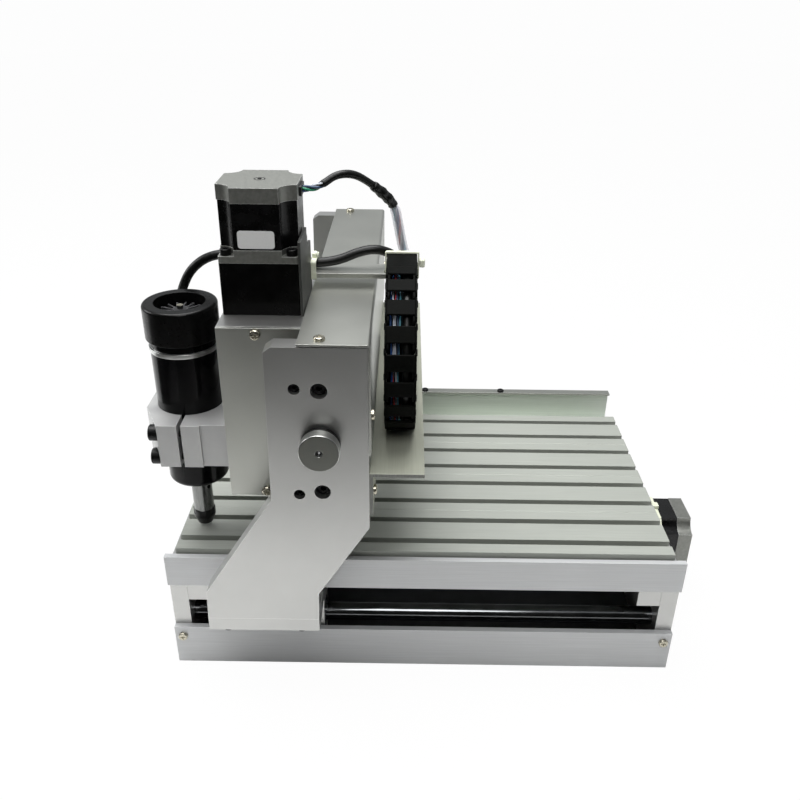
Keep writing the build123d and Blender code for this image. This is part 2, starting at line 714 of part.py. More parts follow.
def drag_chain():
    """A closed end connector on the carriage, then a row of links."""
    length = CHAIN_PLAIN * CHAIN_PITCH + CHAIN_GAP / 2 - 0.4
    links = [Pos(CHAIN_START_X + length / 2, CHAIN_Y, CHAIN_HIGH_Z) * chain_link(length)]
    link = chain_link(CHAIN_PITCH - CHAIN_GAP)
    for i in range(CHAIN_PLAIN, CHAIN_LINKS):
        x, z, heading = chain_place((i + 0.5) * CHAIN_PITCH)
        links.append(Pos(x, CHAIN_Y, z) * Rot(0, heading, 0) * link)
    return group(links)


# ---- X carriage and Z box ----
def x_carriage_block():
    x = (CAR_X - CAR_BLOCK_HALF, CAR_X + CAR_BLOCK_HALF)
    body = block(x, CAR_BLOCK_Y, CAR_BLOCK_Z)
    for z in X_ROD_Z:
        body -= rod_x(X_AXIS_Y, z, x, LM12_R + FIT)
    return body - rod_x(X_AXIS_Y, X_SCREW_Z, x, NUT_R + FIT)


def x_linear_bearings():
    rings = []
    for start in X_BEARING_STARTS:
        for z in X_ROD_Z:
            turn = Pos(start, X_AXIS_Y, z) * facing("+X")
            rings.append(turn * bearing(LM12_R, X_ROD_R + FIT, LM12_LENGTH))
    return group(rings)


def x_nut():
    start = Pos(CAR_X - NUT_LENGTH / 2, X_AXIS_Y, X_SCREW_Z) * facing("+X")
    return start * bearing(NUT_R, SCREW_R + FIT, NUT_LENGTH)


def z_end_plates():
    """Top and bottom plates of the Z box, bored for the rods and the screw."""
    x = (CAR_X - Z_BOX_HALF + Z_COVER_T, CAR_X + Z_BOX_HALF - Z_COVER_T)
    bottom = block(x, Z_BOX_Y, (Z_BOX_Z[0], Z_BOX_Z[0] + Z_PLATE_T))
    top = block(x, Z_BOX_Y, (Z_BOX_Z[1] - Z_PLATE_T, Z_BOX_Z[1]))
    bores = [rod_z(CAR_X, Z_AXIS_Y, (Z_ROD_SPAN[0], Z_BOX_Z[1] + 1), SCREW_R + FIT)]
    for side in (-1, 1):
        bores.append(rod_z(CAR_X + side * Z_ROD_DX, Z_AXIS_Y, Z_ROD_SPAN, X_ROD_R + FIT))
    bores += [place * Cylinder(HOLE_R, 16) for place in z_box_screw_places()]
    for bore in bores:
        bottom -= bore
        top -= bore
    return group([top, bottom])


def z_box_screw_places():
    """Screws through the side covers into the edges of the end plates."""
    places = []
    for side, turn in ((-1, "-X"), (1, "+X")):
        for z in Z_BOX_SCREW_Z:
            places.append(Pos(CAR_X + side * Z_BOX_HALF, Z_BOX_SCREW_Y, z) * facing(turn))
    return places


def z_box_screws():
    return group([place * pan_head(r=3.9) for place in z_box_screw_places()])


def z_side_covers():
    covers = []
    for side in (-1, 1):
        x = span(CAR_X + side * (Z_BOX_HALF - Z_COVER_T), CAR_X + side * Z_BOX_HALF)
        cover = block(x, Z_BOX_Y, Z_BOX_Z)
        for place in z_box_screw_places():
            cover -= place * Cylinder(HOLE_R, 16)
        covers.append(cover)
    return group(covers)


def z_back_plate():
    x = (CAR_X - Z_BOX_HALF + Z_COVER_T, CAR_X + Z_BOX_HALF - Z_COVER_T)
    z = (Z_BOX_Z[0] + Z_PLATE_T, Z_BOX_Z[1] - Z_PLATE_T)
    return block(x, (Z_BOX_Y[1] - Z_BACK_T, Z_BOX_Y[1]), z)


def z_guide_rods():
    places = (CAR_X - Z_ROD_DX, CAR_X + Z_ROD_DX)
    return group([rod_z(x, Z_AXIS_Y, Z_ROD_SPAN, X_ROD_R) for x in places])


def z_motor_block():
    return Pos(CAR_X, Z_AXIS_Y, Z_BOX_Z[1]) * coupling_block()


def cable_bracket():
    """Upright behind the motor housing and a flat arm that carries the chain's end."""
    block_top = Z_BOX_Z[1] + BLOCK_T
    upright = block(BRACKET_X, BRACKET_Y, (Z_BOX_Z[1], block_top))
    upright += block((BRACKET_EAR_X, BRACKET_X[1]), BRACKET_Y, (block_top - 1, BRACKET_TOP))
    tongue = block((ARM_X[0], CAR_X), BRACKET_Y, ARM_Z)
    arm = block(ARM_X, (BRACKET_Y[0], CHAIN_Y + CHAIN_W / 2), ARM_Z)
    slot_y = CHAIN_Y - CHAIN_W / 2 - TIE_T
    tie_slot = Pos(CHAIN_TIE_X, slot_y, ARM_Z[0]) * Box(TIE_W + 1, 2 * TIE_T, 12)
    return upright + tongue + arm - tie_slot


def tie_band(width, height):
    """Closed nylon band in the XY plane round a rectangle."""
    outer = RectangleRounded(width + 2 * TIE_T, height + 2 * TIE_T, 1.6)
    return extrude(outer - RectangleRounded(width, height, 0.4), TIE_W / 2, both=True)


def cable_ties():
    """Tie round the chain's end and the arm, and one round the spindle lead and the arm."""
    gap = 2 * FIT + 0.1
    chain_top = CHAIN_HIGH_Z + CHAIN_H / 2
    height = chain_top - ARM_Z[0] + gap
    centre = Pos(CHAIN_TIE_X, CHAIN_Y, (ARM_Z[0] + chain_top) / 2)
    chain_tie = centre * Rot(0, 90, 0) * tie_band(height, CHAIN_W + gap)
    head = centre * Pos(0, CHAIN_W / 2 + TIE_T + 2.4, height * 0.1) * Box(6.0, 4.4, 6.5)
    chain_tie += fillet(head.edges(), 1.2)
    lead_top = ARM_Z[1] + SPINDLE_LEAD_D + 0.8
    height = lead_top - ARM_Z[0] + gap
    width = ARM_X[1] - ARM_X[0] + gap
    middle = Pos((ARM_X[0] + ARM_X[1]) / 2, LEAD_TIE_Y, (lead_top + ARM_Z[0]) / 2)
    lead_tie = middle * Rot(90, 0, 0) * tie_band(width, height)
    head = middle * Pos(0, 0, height / 2 + TIE_T + 1.8) * Box(7.0, TIE_W, 4.0)
    return group([chain_tie, lead_tie + fillet(head.edges(), 1.2)])


# ---- leads ----
def lead_radii(route):
    """Largest tangent arc for each corner: 0.45 of the shorter run over tan(half the turn)."""
    points = [Vector(*p) for p in route]
    radii = []
    for before, corner, after in zip(points, points[1:], points[2:]):
        first = corner - before
        second = after - corner
        turn = math.radians(first.get_angle(second))
        radii.append(0.45 * min(first.length, second.length) / math.tan(turn / 2))
    return radii


def lead(route, diameter):
    """Plain tube along straight runs joined by tangent arcs."""
    radii = lead_radii(route)
    path = FilletPolyline(*route, radius=radii)
    start = Plane(origin=path @ 0, z_dir=path % 0)
    tube = sweep(start * Circle(diameter / 2), path=path)
    print("lead radii", [round(r, 1) for r in radii], "length", round(path.length, 1),
          "volume ratio", round(tube.volume / (math.pi * diameter ** 2 / 4 * path.length), 3))
    return tube


# ---- Z slide and spindle ----
def z_slide_block():
    x = (CAR_X - SLIDE_BLOCK_HALF, CAR_X + SLIDE_BLOCK_HALF)
    body = block(x, SLIDE_BLOCK_Y, SLIDE_BLOCK_Z)
    for side in (-1, 1):
        body -= rod_z(CAR_X + side * Z_ROD_DX, Z_AXIS_Y, SLIDE_BLOCK_Z, LM12_R + FIT)
    return body - rod_z(CAR_X, Z_AXIS_Y, SLIDE_BLOCK_Z, NUT_R + FIT)


def z_linear_bearings():
    ring = bearing(LM12_R, X_ROD_R + FIT, SLIDE_BEARING_LENGTH)
    rings = []
    for side in (-1, 1):
        for z in (SLIDE_BLOCK_Z[0], SLIDE_BLOCK_Z[1] - SLIDE_BEARING_LENGTH):
            rings.append(Pos(CAR_X + side * Z_ROD_DX, Z_AXIS_Y, z) * ring)
    return group(rings)


def z_nut():
    start = Pos(CAR_X, Z_AXIS_Y, SLIDE_BLOCK_Z[0] + 10)
    return start * bearing(NUT_R, SCREW_R + FIT, NUT_LENGTH)


def clamp_outline():
    """Clamp outline (x, y): a block with a bevelled front and a lug at the right."""
    front_left = (CAR_X - 14, CLAMP_FRONT)
    front_right = (CAR_X + 14, CLAMP_FRONT)
    return [(CLAMP_RIGHT, CLAMP_LUG_Y[0]), front_right, front_left, (CLAMP_LEFT, -209.0),
            (CLAMP_LEFT, SLIDE_BLOCK_Y[0]), (CLAMP_NECK_RIGHT, SLIDE_BLOCK_Y[0]),
            (CLAMP_NECK_RIGHT, CLAMP_LUG_Y[1]), (CLAMP_RIGHT, CLAMP_LUG_Y[1])]


def spindle_clamp():
    """Split clamp round the spindle, drawn tight by two screws in spot-faced seats."""
    z = CLAMP_Z
    wire = Polyline(*[(x, y, z[0]) for x, y in clamp_outline()], close=True)
    body = extrude(make_face(wire), z[1] - z[0], dir=(0, 0, 1))
    body -= rod_z(CAR_X, SPINDLE_Y, z, SPINDLE_R + FIT)
    slit_y = (SPINDLE_Y - CLAMP_SLIT / 2, SPINDLE_Y + CLAMP_SLIT / 2)
    body -= block((CAR_X + SPINDLE_R - 2, CLAMP_RIGHT + 1), slit_y, (z[0] - 1, z[1] + 1))
    through = (CLAMP_LUG_Y[0] - 1, CLAMP_LUG_Y[1] + 1)
    for screw_z in CLAMP_SCREW_Z:
        body -= rod_y(CLAMP_SCREW_X, screw_z, through, CLAMP_SCREW_R + FIT)
        body -= rod_y(CLAMP_SCREW_X, screw_z, (CLAMP_FRONT, CLAMP_LUG_Y[0]), CLAMP_HEAD_R + 0.4)
    return body


def clamp_screws():
    screw = cap_screw(r=CLAMP_HEAD_R, height=8.0, shank_r=CLAMP_SCREW_R, shank=30)
    places = [Pos(CLAMP_SCREW_X, CLAMP_LUG_Y[0], z) * facing("-Y") for z in CLAMP_SCREW_Z]
    return group([place * screw for place in places])


def spindle_body():
    """Motor body of the spindle with a rounded nose and a shallow ring under the cap."""
    nose = rod_z(CAR_X, SPINDLE_Y, (NOSE_BOTTOM, CLAMP_Z[0] - 1), NOSE_R)
    nose = fillet(nose.edges().group_by(Axis.Z)[0], 5)
    barrel = rod_z(CAR_X, SPINDLE_Y, (CLAMP_Z[0] - 2, BARREL_TOP), SPINDLE_R)
    ring = rod_z(CAR_X, SPINDLE_Y, (BARREL_TOP, RING_TOP), RING_R)
    neck = rod_z(CAR_X, SPINDLE_Y, (RING_TOP, CAP_Z[0]), NECK_R)
    bore = rod_z(CAR_X, SPINDLE_Y, (NOSE_BOTTOM - 1, CAP_Z[0] + 1), SHAFT_R + FIT)
    return nose + barrel + ring + neck - bore


def spindle_cap():
    """Fan shroud: a cup open at the top."""
    cup = rod_z(CAR_X, SPINDLE_Y, CAP_Z, CAP_R)
    cup = fillet(cup.edges().group_by(Axis.Z)[-1], 2.5)
    cup -= rod_z(CAR_X, SPINDLE_Y, (CAP_Z[0] + CAP_FLOOR, CAP_Z[1] + 1), CAP_BORE_R)
    return cup - rod_z(CAR_X, SPINDLE_Y, (CAP_Z[0] - 1, CAP_Z[0] + CAP_FLOOR + 1), 4.0)


def spindle_shaft():
    """Rotor shaft from the collet nut up to the fan, with a hole for a tommy bar."""
    shaft = rod_z(CAR_X, SPINDLE_Y, SHAFT_Z, SHAFT_R)
    shaft += rod_z(CAR_X, SPINDLE_Y, (SHAFT_Z[1], SHAFT_TIP_Z), SHAFT_TIP_R)
    bore = rod_z(CAR_X, SPINDLE_Y, (SHAFT_Z[0] - 1, SHAFT_Z[0] + SHAFT_BORE), COLLET_R + 0.4)
    cross = Pos(CAR_X, SPINDLE_Y, PIN_HOLE_Z) * Rot(0, 0, PIN_HOLE_TURN) * facing("+X")
    return shaft - bore - cross * Cylinder(PIN_HOLE_R, 2 * SHAFT_R + 2)


def collet_nut():
    """Collet nut with its collet: a cone below, flats above, a bore for the tool shank."""
    nut = rod_z(CAR_X, SPINDLE_Y, (COLLET_NUT_Z, SHAFT_Z[0]), COLLET_HEAD_R)
    height = COLLET_NUT_Z - COLLET_TIP_Z
    cone_at = Pos(CAR_X, SPINDLE_Y, COLLET_TIP_Z + height / 2)
    nut += cone_at * Cone(COLLET_TIP_R, COLLET_HEAD_R, height)
    for i in range(6):
        turn = Pos(CAR_X, SPINDLE_Y, SHAFT_Z[0]) * Rot(0, 0, 60 * i)
        nut -= turn * Pos(COLLET_HEAD_R + 0.1, 0, 0) * Box(1.4, 5, 9)
    return nut - rod_z(CAR_X, SPINDLE_Y, (COLLET_TIP_Z - 1, SHAFT_Z[0] + 1), COLLET_R)


def cooling_fan():
    """Radial fan: a hub on the shaft and straight blades."""
    fan = rod_z(CAR_X, SPINDLE_Y, FAN_Z, FAN_HUB_R)
    reach = FAN_TIP_R - FAN_HUB_R + 1
    blade = Pos(FAN_HUB_R - 1 + reach / 2, 0, (FAN_Z[0] + FAN_Z[1]) / 2) * Box(reach, 1.2, 9)
    for i in range(FAN_BLADES):
        fan += Pos(CAR_X, SPINDLE_Y, 0) * Rot(0, 0, 360 / FAN_BLADES * i) * blade
    return fan - rod_z(CAR_X, SPINDLE_Y, (FAN_Z[0] - 1, FAN_Z[1] + 1), SHAFT_TIP_R)


def z_leadscrew():
    journal_end = Z_BOX_Z[1] + BLOCK_T - SHAFT_REACH - 1.6
    screw = rod_z(CAR_X, Z_AXIS_Y, (Z_ROD_SPAN[0] + 0.5, Z_BOX_Z[1] + 2), SCREW_R)
    return screw + rod_z(CAR_X, Z_AXIS_Y, (Z_BOX_Z[1] + 1, journal_end), JOURNAL_R)


def main():
    os.makedirs("parts", exist_ok=True)
    y_face, x_face, z_face = motor_faces()
    # base
    emit("table_plate", table_plate())
    emit("front_end_plate", end_plate(-1))
    emit("rear_end_plate", end_plate(1))
    emit("side_rails", side_rails())
    emit("table_support_bars", table_support_bars())
    emit("bottom_plate", bottom_plate())
    emit("y_guide_rods", y_guide_rods())
    emit("y_screw_bearing", y_screw_bearing())
    y_sizes = (Y_MOTOR_FLANGE_T, Y_MOTOR_FLANGE_T, Y_MOTOR_STACK_T, Y_MOTOR_CAP_T)
    emit("y_motor", group(stepper(y_face, *y_sizes)))
    emit("y_motor_tie", y_motor_tie())
    emit("base_screws", base_screws())
    emit("cable_tray", cable_tray())
    # Y screw
    emit("y_leadscrew", y_leadscrew())
    emit("y_coupling", drive_coupling(y_face, Y_SHAFT_REACH))
    # gantry
    emit("right_side_plate", side_plate(1))
    emit("left_side_plate", side_plate(-1))
    emit("cross_plate", cross_plate())
    emit("y_bearing_blocks", y_bearing_blocks())
    emit("y_linear_bearings", y_linear_bearings())
    emit("y_nut", y_nut())
    emit("x_guide_rods", x_guide_rods())
    emit("x_screw_bearings", x_screw_bearings())
    emit("top_cover", top_cover())
    emit("chain_shelf", chain_shelf())
    emit("cover_screws", cover_screws())
    emit("gantry_cap_screws", group(side_plate_screws() + motor_screws(x_face)))
    emit("x_motor_block", x_motor_block())
    emit("x_motor", group(long_stepper(x_face)))
    emit("drag_chain", drag_chain())
    # X screw
    emit("x_leadscrew", x_leadscrew())
    emit("x_handwheel", x_handwheel())
    emit("x_coupling", drive_coupling(x_face, SHAFT_REACH))
    # carriage
    emit("x_carriage_block", x_carriage_block())
    emit("x_linear_bearings", x_linear_bearings())
    emit("x_nut", x_nut())
    emit("z_end_plates", z_end_plates())
    emit("z_back_plate", z_back_plate())
    emit("z_side_covers", z_side_covers())
    emit("z_box_screws", z_box_screws())
    emit("z_guide_rods", z_guide_rods())
    emit("z_motor_block", z_motor_block())
    bell, stack, cap = long_stepper(z_face)
    emit("z_motor_bells", group([bell, cap]))
    emit("z_motor_stack", stack)
    emit("z_motor_screws", group(motor_screws(z_face)))
    emit("cable_bracket", cable_bracket())
    emit("cable_ties", cable_ties())
    emit("motor_lead", lead(MOTOR_LEAD_ROUTE, LEAD_D))
    # Z screw
    emit("z_leadscrew", z_leadscrew())
    emit("z_coupling", drive_coupling(z_face, SHAFT_REACH))
    # Z slide
    emit("z_slide_block", z_slide_block())
    emit("z_linear_bearings", z_linear_bearings())
    emit("z_nut", z_nut())
    emit("spindle_clamp", spindle_clamp())
    emit("clamp_screws", clamp_screws())
    emit("spindle_body", spindle_body())
    emit("spindle_cap", spindle_cap())
    emit("spindle_lead", lead(SPINDLE_LEAD_ROUTE, SPINDLE_LEAD_D))
    # rotor
    emit("spindle_shaft", spindle_shaft())
    emit("collet_nut", collet_nut())
    emit("cooling_fan", cooling_fan())


main()
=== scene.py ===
import json
import math

import bmesh
import bpy
from mathutils import Matrix, Vector


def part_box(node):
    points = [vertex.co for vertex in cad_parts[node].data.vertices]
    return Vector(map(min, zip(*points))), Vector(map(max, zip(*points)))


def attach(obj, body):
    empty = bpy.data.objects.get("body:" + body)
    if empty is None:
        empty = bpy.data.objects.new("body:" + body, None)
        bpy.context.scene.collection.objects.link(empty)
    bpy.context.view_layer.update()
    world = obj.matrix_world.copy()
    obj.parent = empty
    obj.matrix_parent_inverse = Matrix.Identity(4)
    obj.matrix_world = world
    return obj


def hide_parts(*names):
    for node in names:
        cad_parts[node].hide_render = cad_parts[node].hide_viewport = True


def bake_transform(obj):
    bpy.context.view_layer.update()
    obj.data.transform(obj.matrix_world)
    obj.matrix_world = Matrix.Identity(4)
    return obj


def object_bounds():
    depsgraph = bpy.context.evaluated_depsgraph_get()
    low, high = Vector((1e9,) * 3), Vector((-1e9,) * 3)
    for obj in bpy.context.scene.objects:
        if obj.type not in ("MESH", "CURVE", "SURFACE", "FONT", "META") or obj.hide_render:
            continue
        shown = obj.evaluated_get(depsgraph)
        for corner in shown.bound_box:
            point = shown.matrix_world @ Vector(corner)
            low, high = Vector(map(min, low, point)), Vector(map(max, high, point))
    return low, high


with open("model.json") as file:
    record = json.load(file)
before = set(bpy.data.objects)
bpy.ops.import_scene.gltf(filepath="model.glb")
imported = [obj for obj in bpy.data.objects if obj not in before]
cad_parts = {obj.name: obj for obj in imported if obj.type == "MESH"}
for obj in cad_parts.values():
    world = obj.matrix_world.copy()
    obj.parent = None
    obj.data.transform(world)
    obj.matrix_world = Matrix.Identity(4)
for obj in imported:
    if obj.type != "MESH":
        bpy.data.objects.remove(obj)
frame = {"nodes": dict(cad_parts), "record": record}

MM = 0.001
scene = bpy.context.scene
nodes = frame["nodes"]
cad_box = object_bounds()

# Camera: looks down on the handwheel side, with the long axis of the table across the picture.
CAMERA_AT = (0.6728, -0.0195, 0.5562)
CAMERA_PITCH = math.radians(27.75)
CAMERA_YAW = math.radians(0.31)
CAMERA_ROLL = math.radians(0.6)
CAMERA_LENS = 37.08

# Room: how white the camera sees the background, and the dark walls of the reflections in metres.
WHITE_SHARE = 0.97
WALL_X = 1.5
WALL_Y = 1.6
WALL_TOP = 2.0

# Cord routes in millimetres, the same points as the CAD routes.
MOTOR_LEAD_ROUTE = [
    (86, -95, 416), (86, -87, 416), (82.5, -79, 418.5), (78.5, -70, 424.5), (72, -58, 424),
    (65.5, -46.5, 416), (59, -36, 406), (53, -28.5, 396.5), (47.5, -25.5, 380), (42, -23, 365),
    (41.5, -20.5, 355), (48, -18.5, 352),
]
MOTOR_LEAD_D = 6.0
SPINDLE_LEAD_ROUTE = [
    (58.3, -198, 318), (50.5, -200, 318), (45, -199, 326), (43, -191, 341), (43.5, -175, 352.5),
    (45, -153, 355), (46, -130, 352.5), (46.5, -108, 349), (47, -89, 348.4), (46, -72, 350.5),
    (45, -57, 357), (44, -44, 359.5), (41, -33.5, 356), (41, -28.2, 352.5), (48, -27, 352),
]
SPINDLE_LEAD_D = 7.5

# Drag chain in millimetres: its line runs along the top, round the bend and back along the shelf.
CHAIN_W = 24.0
CHAIN_H = 15.0
CHAIN_PITCH = 18.0
CHAIN_LINKS = 20
CHAIN_PLAIN = 2               # pitches taken up by the closed end connector
CHAIN_START_X = 48.0
CHAIN_BEND_X = 90.0
CHAIN_BEND_R = 56.25
CHAIN_WINDOW = 5.6            # opening between the bars of two links
CHAIN_CHEEK = 3.7             # both walls on one side of a link
CHAIN_ROUND = 2.2             # corner radius of a cheek
CHAIN_BAR_T = 1.0             # half thickness of a bar and of the floor
FLOOR_GAP = 0.5               # half of the gap between the floors of two links
CHEEK_HALF = 0.49 * CHAIN_PITCH
TONGUE_HALF = 0.36 * CHAIN_PITCH
TONGUE_AHEAD = 6.0            # from the middle of its link to the middle of the tongue
TONGUE_ROUND = 4.2
PIN_R = 2.6
PIN_OUT = 0.5                 # how far a pin stands out of its cheek
PIN_BACK = CHAIN_PITCH / 2 - 2.4
BOSS_R = 2.4
BOSS_T = 0.6
BOSS_AT = (-6.0, 9.0)
MOUTH_L = 4.8
CHAIN_STEPS = 110             # sections of what lies inside the chain
CHAIN_END = 3.0               # what lies inside stops short of both ends
WIRE_R = 0.7
CABLE_R = 3.4

# Z motor's lead in millimetres: where each stretch starts or ends, from the motor on, and radii.
SLEEVE_START = 17.0
SPLICE_START = 60.0
SPLICE_END = 86.0
BARE_R = 1.7
SPLICE_R = 3.1

# Lead screws in millimetres: the threaded stretch of each, along its own axis.
SCREW_PITCH = 4.0
THREAD_DEPTH = 1.1
THREAD_SIDES = 20
THREAD_PROFILE = ((0.0, 0.0), (0.3, 0.0), (0.5, 1.0), (0.8, 1.0))  # (share of pitch, of depth)
JOURNAL_R = 4.0
JOURNAL_BEVEL = 0.4
Y_THREAD = (-203.5, 178.0)
X_THREAD = (-156.0, 156.0)
Z_THREAD = (195.5, 332.6)

# Small pieces on the motors and the knob, in millimetres.
LABEL_Y = (-13.6, 12.4)       # from the middle of the motor
LABEL_Z = (1.2, 14.0)         # from the foot of the stack
LABEL_ROUND = 2.2
SOCKET_HALF = 8.5
SOCKET_Z = (-3.6, 3.8)        # from the middle of the lead
# Black disc on the Z motor's top: painted shade of the recess round the shaft end, with the shaft
# end's pin.
RECESS_SHADE_PROFILE = ((0, -0.4), (4.2, -0.4), (4.2, 0.15), (3.5, 0.15), (3.3, -0.1), (1.6, -0.1),
               (1.4, 0.5), (0, 0.5))
# Black ring at the knob: painted shade of the gap behind the knob.
SHADE_RING_PROFILE = ((12.7, 1.6), (14.0, 1.6), (14.3, 2.0), (14.3, 4.6), (14.0, 5.0), (12.7, 5.0))

# Widths of rounded edges, in metres.
EDGE = 0.0004
CHAIN_EDGE = 0.0003
FINE_EDGE = 0.00015
PLATE_EDGE = 0.00012
TINY_EDGE = 0.0001
FINE_NODES = ("base_screws", "cover_screws", "z_box_screws", "gantry_cap_screws",
              "z_motor_screws", "clamp_screws", "cable_ties", "y_motor_tie")

# Parts of one node that have their own finish, in millimetres.
FACE_GAP = 0.1                # slack where a face's centre is compared with a place
PILOT_T = 1.6                 # motor pilots and the aluminium ends of the X and Y motors
BELL_T = 9.4
CAP_T = 10.8
Y_BELL_T = 4.5
Y_CAP_T = 13.0
RING_Z = (293.0, 296.5)       # bright ring below the spindle's cap
TIP_Z = 322.0                 # only the end face of the spindle's shaft is above it
# The knob's hub below this, next to the side plate, is painted black as shade of the gap there.
HUB_END = 177.4               # just short of the hand knob's grip
SIDE_OUT = 172.0              # outer face of the side plate
TRAY_T = 2.0
BRACKET_T = 2.0
BRACKET_X = 61.0              # just past the arm of the cable bracket
SHELF_CUT = 0.6               # depth of the sawn ends of the chain's shelf


# ---- places read from the frame ----
def middle(node):
    low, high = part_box(node)
    return (low + high) / 2 / MM


SPINDLE_X, SPINDLE_Y = middle("spindle_body")[:2]
MOTOR_X, MOTOR_Y = middle("z_motor_stack")[:2]
CHAIN_Y = middle("drag_chain")[1]
CHAIN_LOW_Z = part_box("drag_chain")[0].z / MM + CHAIN_H / 2


# ---- materials ----
def srgb(code):
    """Linear colour of a hex code."""
    parts = [int(code[i:i + 2], 16) / 255 for i in (0, 2, 4)]
    return tuple(p / 12.92 if p <= 0.04045 else ((p + 0.055) / 1.055) ** 2.4 for p in parts) + (1.0,)


def noise_fac(tree, scale, stretch=(1, 1, 1), detail=4.0):
    coords = tree.nodes.new("ShaderNodeTexCoord")
    mapping = tree.nodes.new("ShaderNodeMapping")
    mapping.inputs["Scale"].default_value = stretch
    noise = tree.nodes.new("ShaderNodeTexNoise")
    noise.inputs["Scale"].default_value = scale
    noise.inputs["Detail"].default_value = detail
    tree.links.new(coords.outputs["Object"], mapping.inputs["Vector"])
    tree.links.new(mapping.outputs["Vector"], noise.inputs["Vector"])
    return noise.outputs["Fac"]


def ramp(tree, fac, stops):
    """Colour ramp over a factor: stops are (position, colour)."""
    node = tree.nodes.new("ShaderNodeValToRGB")
    elements = node.color_ramp.elements
    while len(elements) < len(stops):
        elements.new(0.5)
    for element, (position, colour) in zip(elements, stops):
        element.position = position
        element.color = colour
    tree.links.new(fac, node.inputs["Fac"])
    return node.outputs["Color"]


def remap(tree, fac, low, high, span=(0.3, 0.7)):
    """Value from low to high as the factor goes over its span, held at both ends."""
    node = tree.nodes.new("ShaderNodeMapRange")
    node.inputs["From Min"].default_value = span[0]
    node.inputs["From Max"].default_value = span[1]
    node.inputs["To Min"].default_value = low
    node.inputs["To Max"].default_value = high
    tree.links.new(fac, node.inputs["Value"])
    return node.outputs["Result"]


def edge_fac(tree, radius):
    """1 on sharp edges, 0 on flat faces, broken up a little."""
    rounded = tree.nodes.new("ShaderNodeBevel")
    rounded.samples = 4
    rounded.inputs["Radius"].default_value = radius
    flat = tree.nodes.new("ShaderNodeNewGeometry")
    dot = tree.nodes.new("ShaderNodeVectorMath")
    dot.operation = "DOT_PRODUCT"
    tree.links.new(rounded.outputs["Normal"], dot.inputs[0])
    tree.links.new(flat.outputs["Normal"], dot.inputs[1])
    return remap(tree, dot.outputs["Value"], 1.0, 0.0, span=(0.75, 0.97))


def blend_colour(tree, fac, first, second):
    mix = tree.nodes.new("ShaderNodeMix")
    mix.data_type = "RGBA"
    tree.links.new(fac, mix.inputs["Factor"])
    tree.links.new(first, mix.inputs[6])
    mix.inputs[7].default_value = second
    return mix.outputs[2]


def new_look(name, metallic, **sockets):
    material = bpy.data.materials.new(name)
    material.use_nodes = True
    shader = material.node_tree.nodes["Principled BSDF"]
    shader.inputs["Metallic"].default_value = metallic
    for socket, value in sockets.items():
        shader.inputs[socket.replace("_", " ")].default_value = value
    return material, material.node_tree, shader


def grained(name, dark, light, metallic, rough, scale, stretch=(1, 1, 1), bump=0.1, wear=None,
            wear_radius=0.0008, grain=None, **sockets):
    """Colour and roughness follow a broad noise, the bump a finer one, and edges can get a lighter
    colour that is partly wear and partly a painted highlight.
    """
    material, tree, shader = new_look(name, metallic, **sockets)
    broad = noise_fac(tree, scale, stretch)
    colour = ramp(tree, broad, [(0.3, srgb(dark)), (0.7, srgb(light))])
    # Lighter edges: partly wear, partly a painted highlight.
    if wear:
        colour = blend_colour(tree, edge_fac(tree, wear_radius), colour, srgb(wear))
    tree.links.new(colour, shader.inputs["Base Color"])
    tree.links.new(remap(tree, broad, *rough), shader.inputs["Roughness"])
    fine = noise_fac(tree, grain or scale * 3, stretch, detail=6.0)
    relief = tree.nodes.new("ShaderNodeBump")
    relief.inputs["Strength"].default_value = bump
    relief.inputs["Distance"].default_value = 0.0002
    tree.links.new(fine, relief.inputs["Height"])
    tree.links.new(relief.outputs["Normal"], shader.inputs["Normal"])
    return material


def turned(name, dark, light, centre, axis, rough=(0.22, 0.38)):
    """Lathe-turned metal: rings about an axis through centre, both in metres."""
    material, tree, shader = new_look(name, 1.0)
    coords = tree.nodes.new("ShaderNodeTexCoord")
    mapping = tree.nodes.new("ShaderNodeMapping")
    keep = [0.0 if letter == axis else 1.0 for letter in "XYZ"]
    mapping.inputs["Location"].default_value = [-c * k for c, k in zip(centre, keep)]
    mapping.inputs["Scale"].default_value = keep
    tree.links.new(coords.outputs["Object"], mapping.inputs["Vector"])
    radius = tree.nodes.new("ShaderNodeVectorMath")
    radius.operation = "LENGTH"
    tree.links.new(mapping.outputs["Vector"], radius.inputs[0])
    noise = tree.nodes.new("ShaderNodeTexNoise")
    noise.noise_dimensions = "1D"
    noise.inputs["Scale"].default_value = 2500.0
    tree.links.new(radius.outputs["Value"], noise.inputs["W"])
    colour = ramp(tree, noise.outputs["Fac"], [(0.3, srgb(dark)), (0.7, srgb(light))])
    tree.links.new(colour, shader.inputs["Base Color"])
    tree.links.new(remap(tree, noise.outputs["Fac"], *rough), shader.inputs["Roughness"])
    return material


# Stretch of the noise along the grain of a drawn or sawn piece.
ALONG_X = (0.6, 40, 40)
ALONG_Y = (40, 0.6, 40)

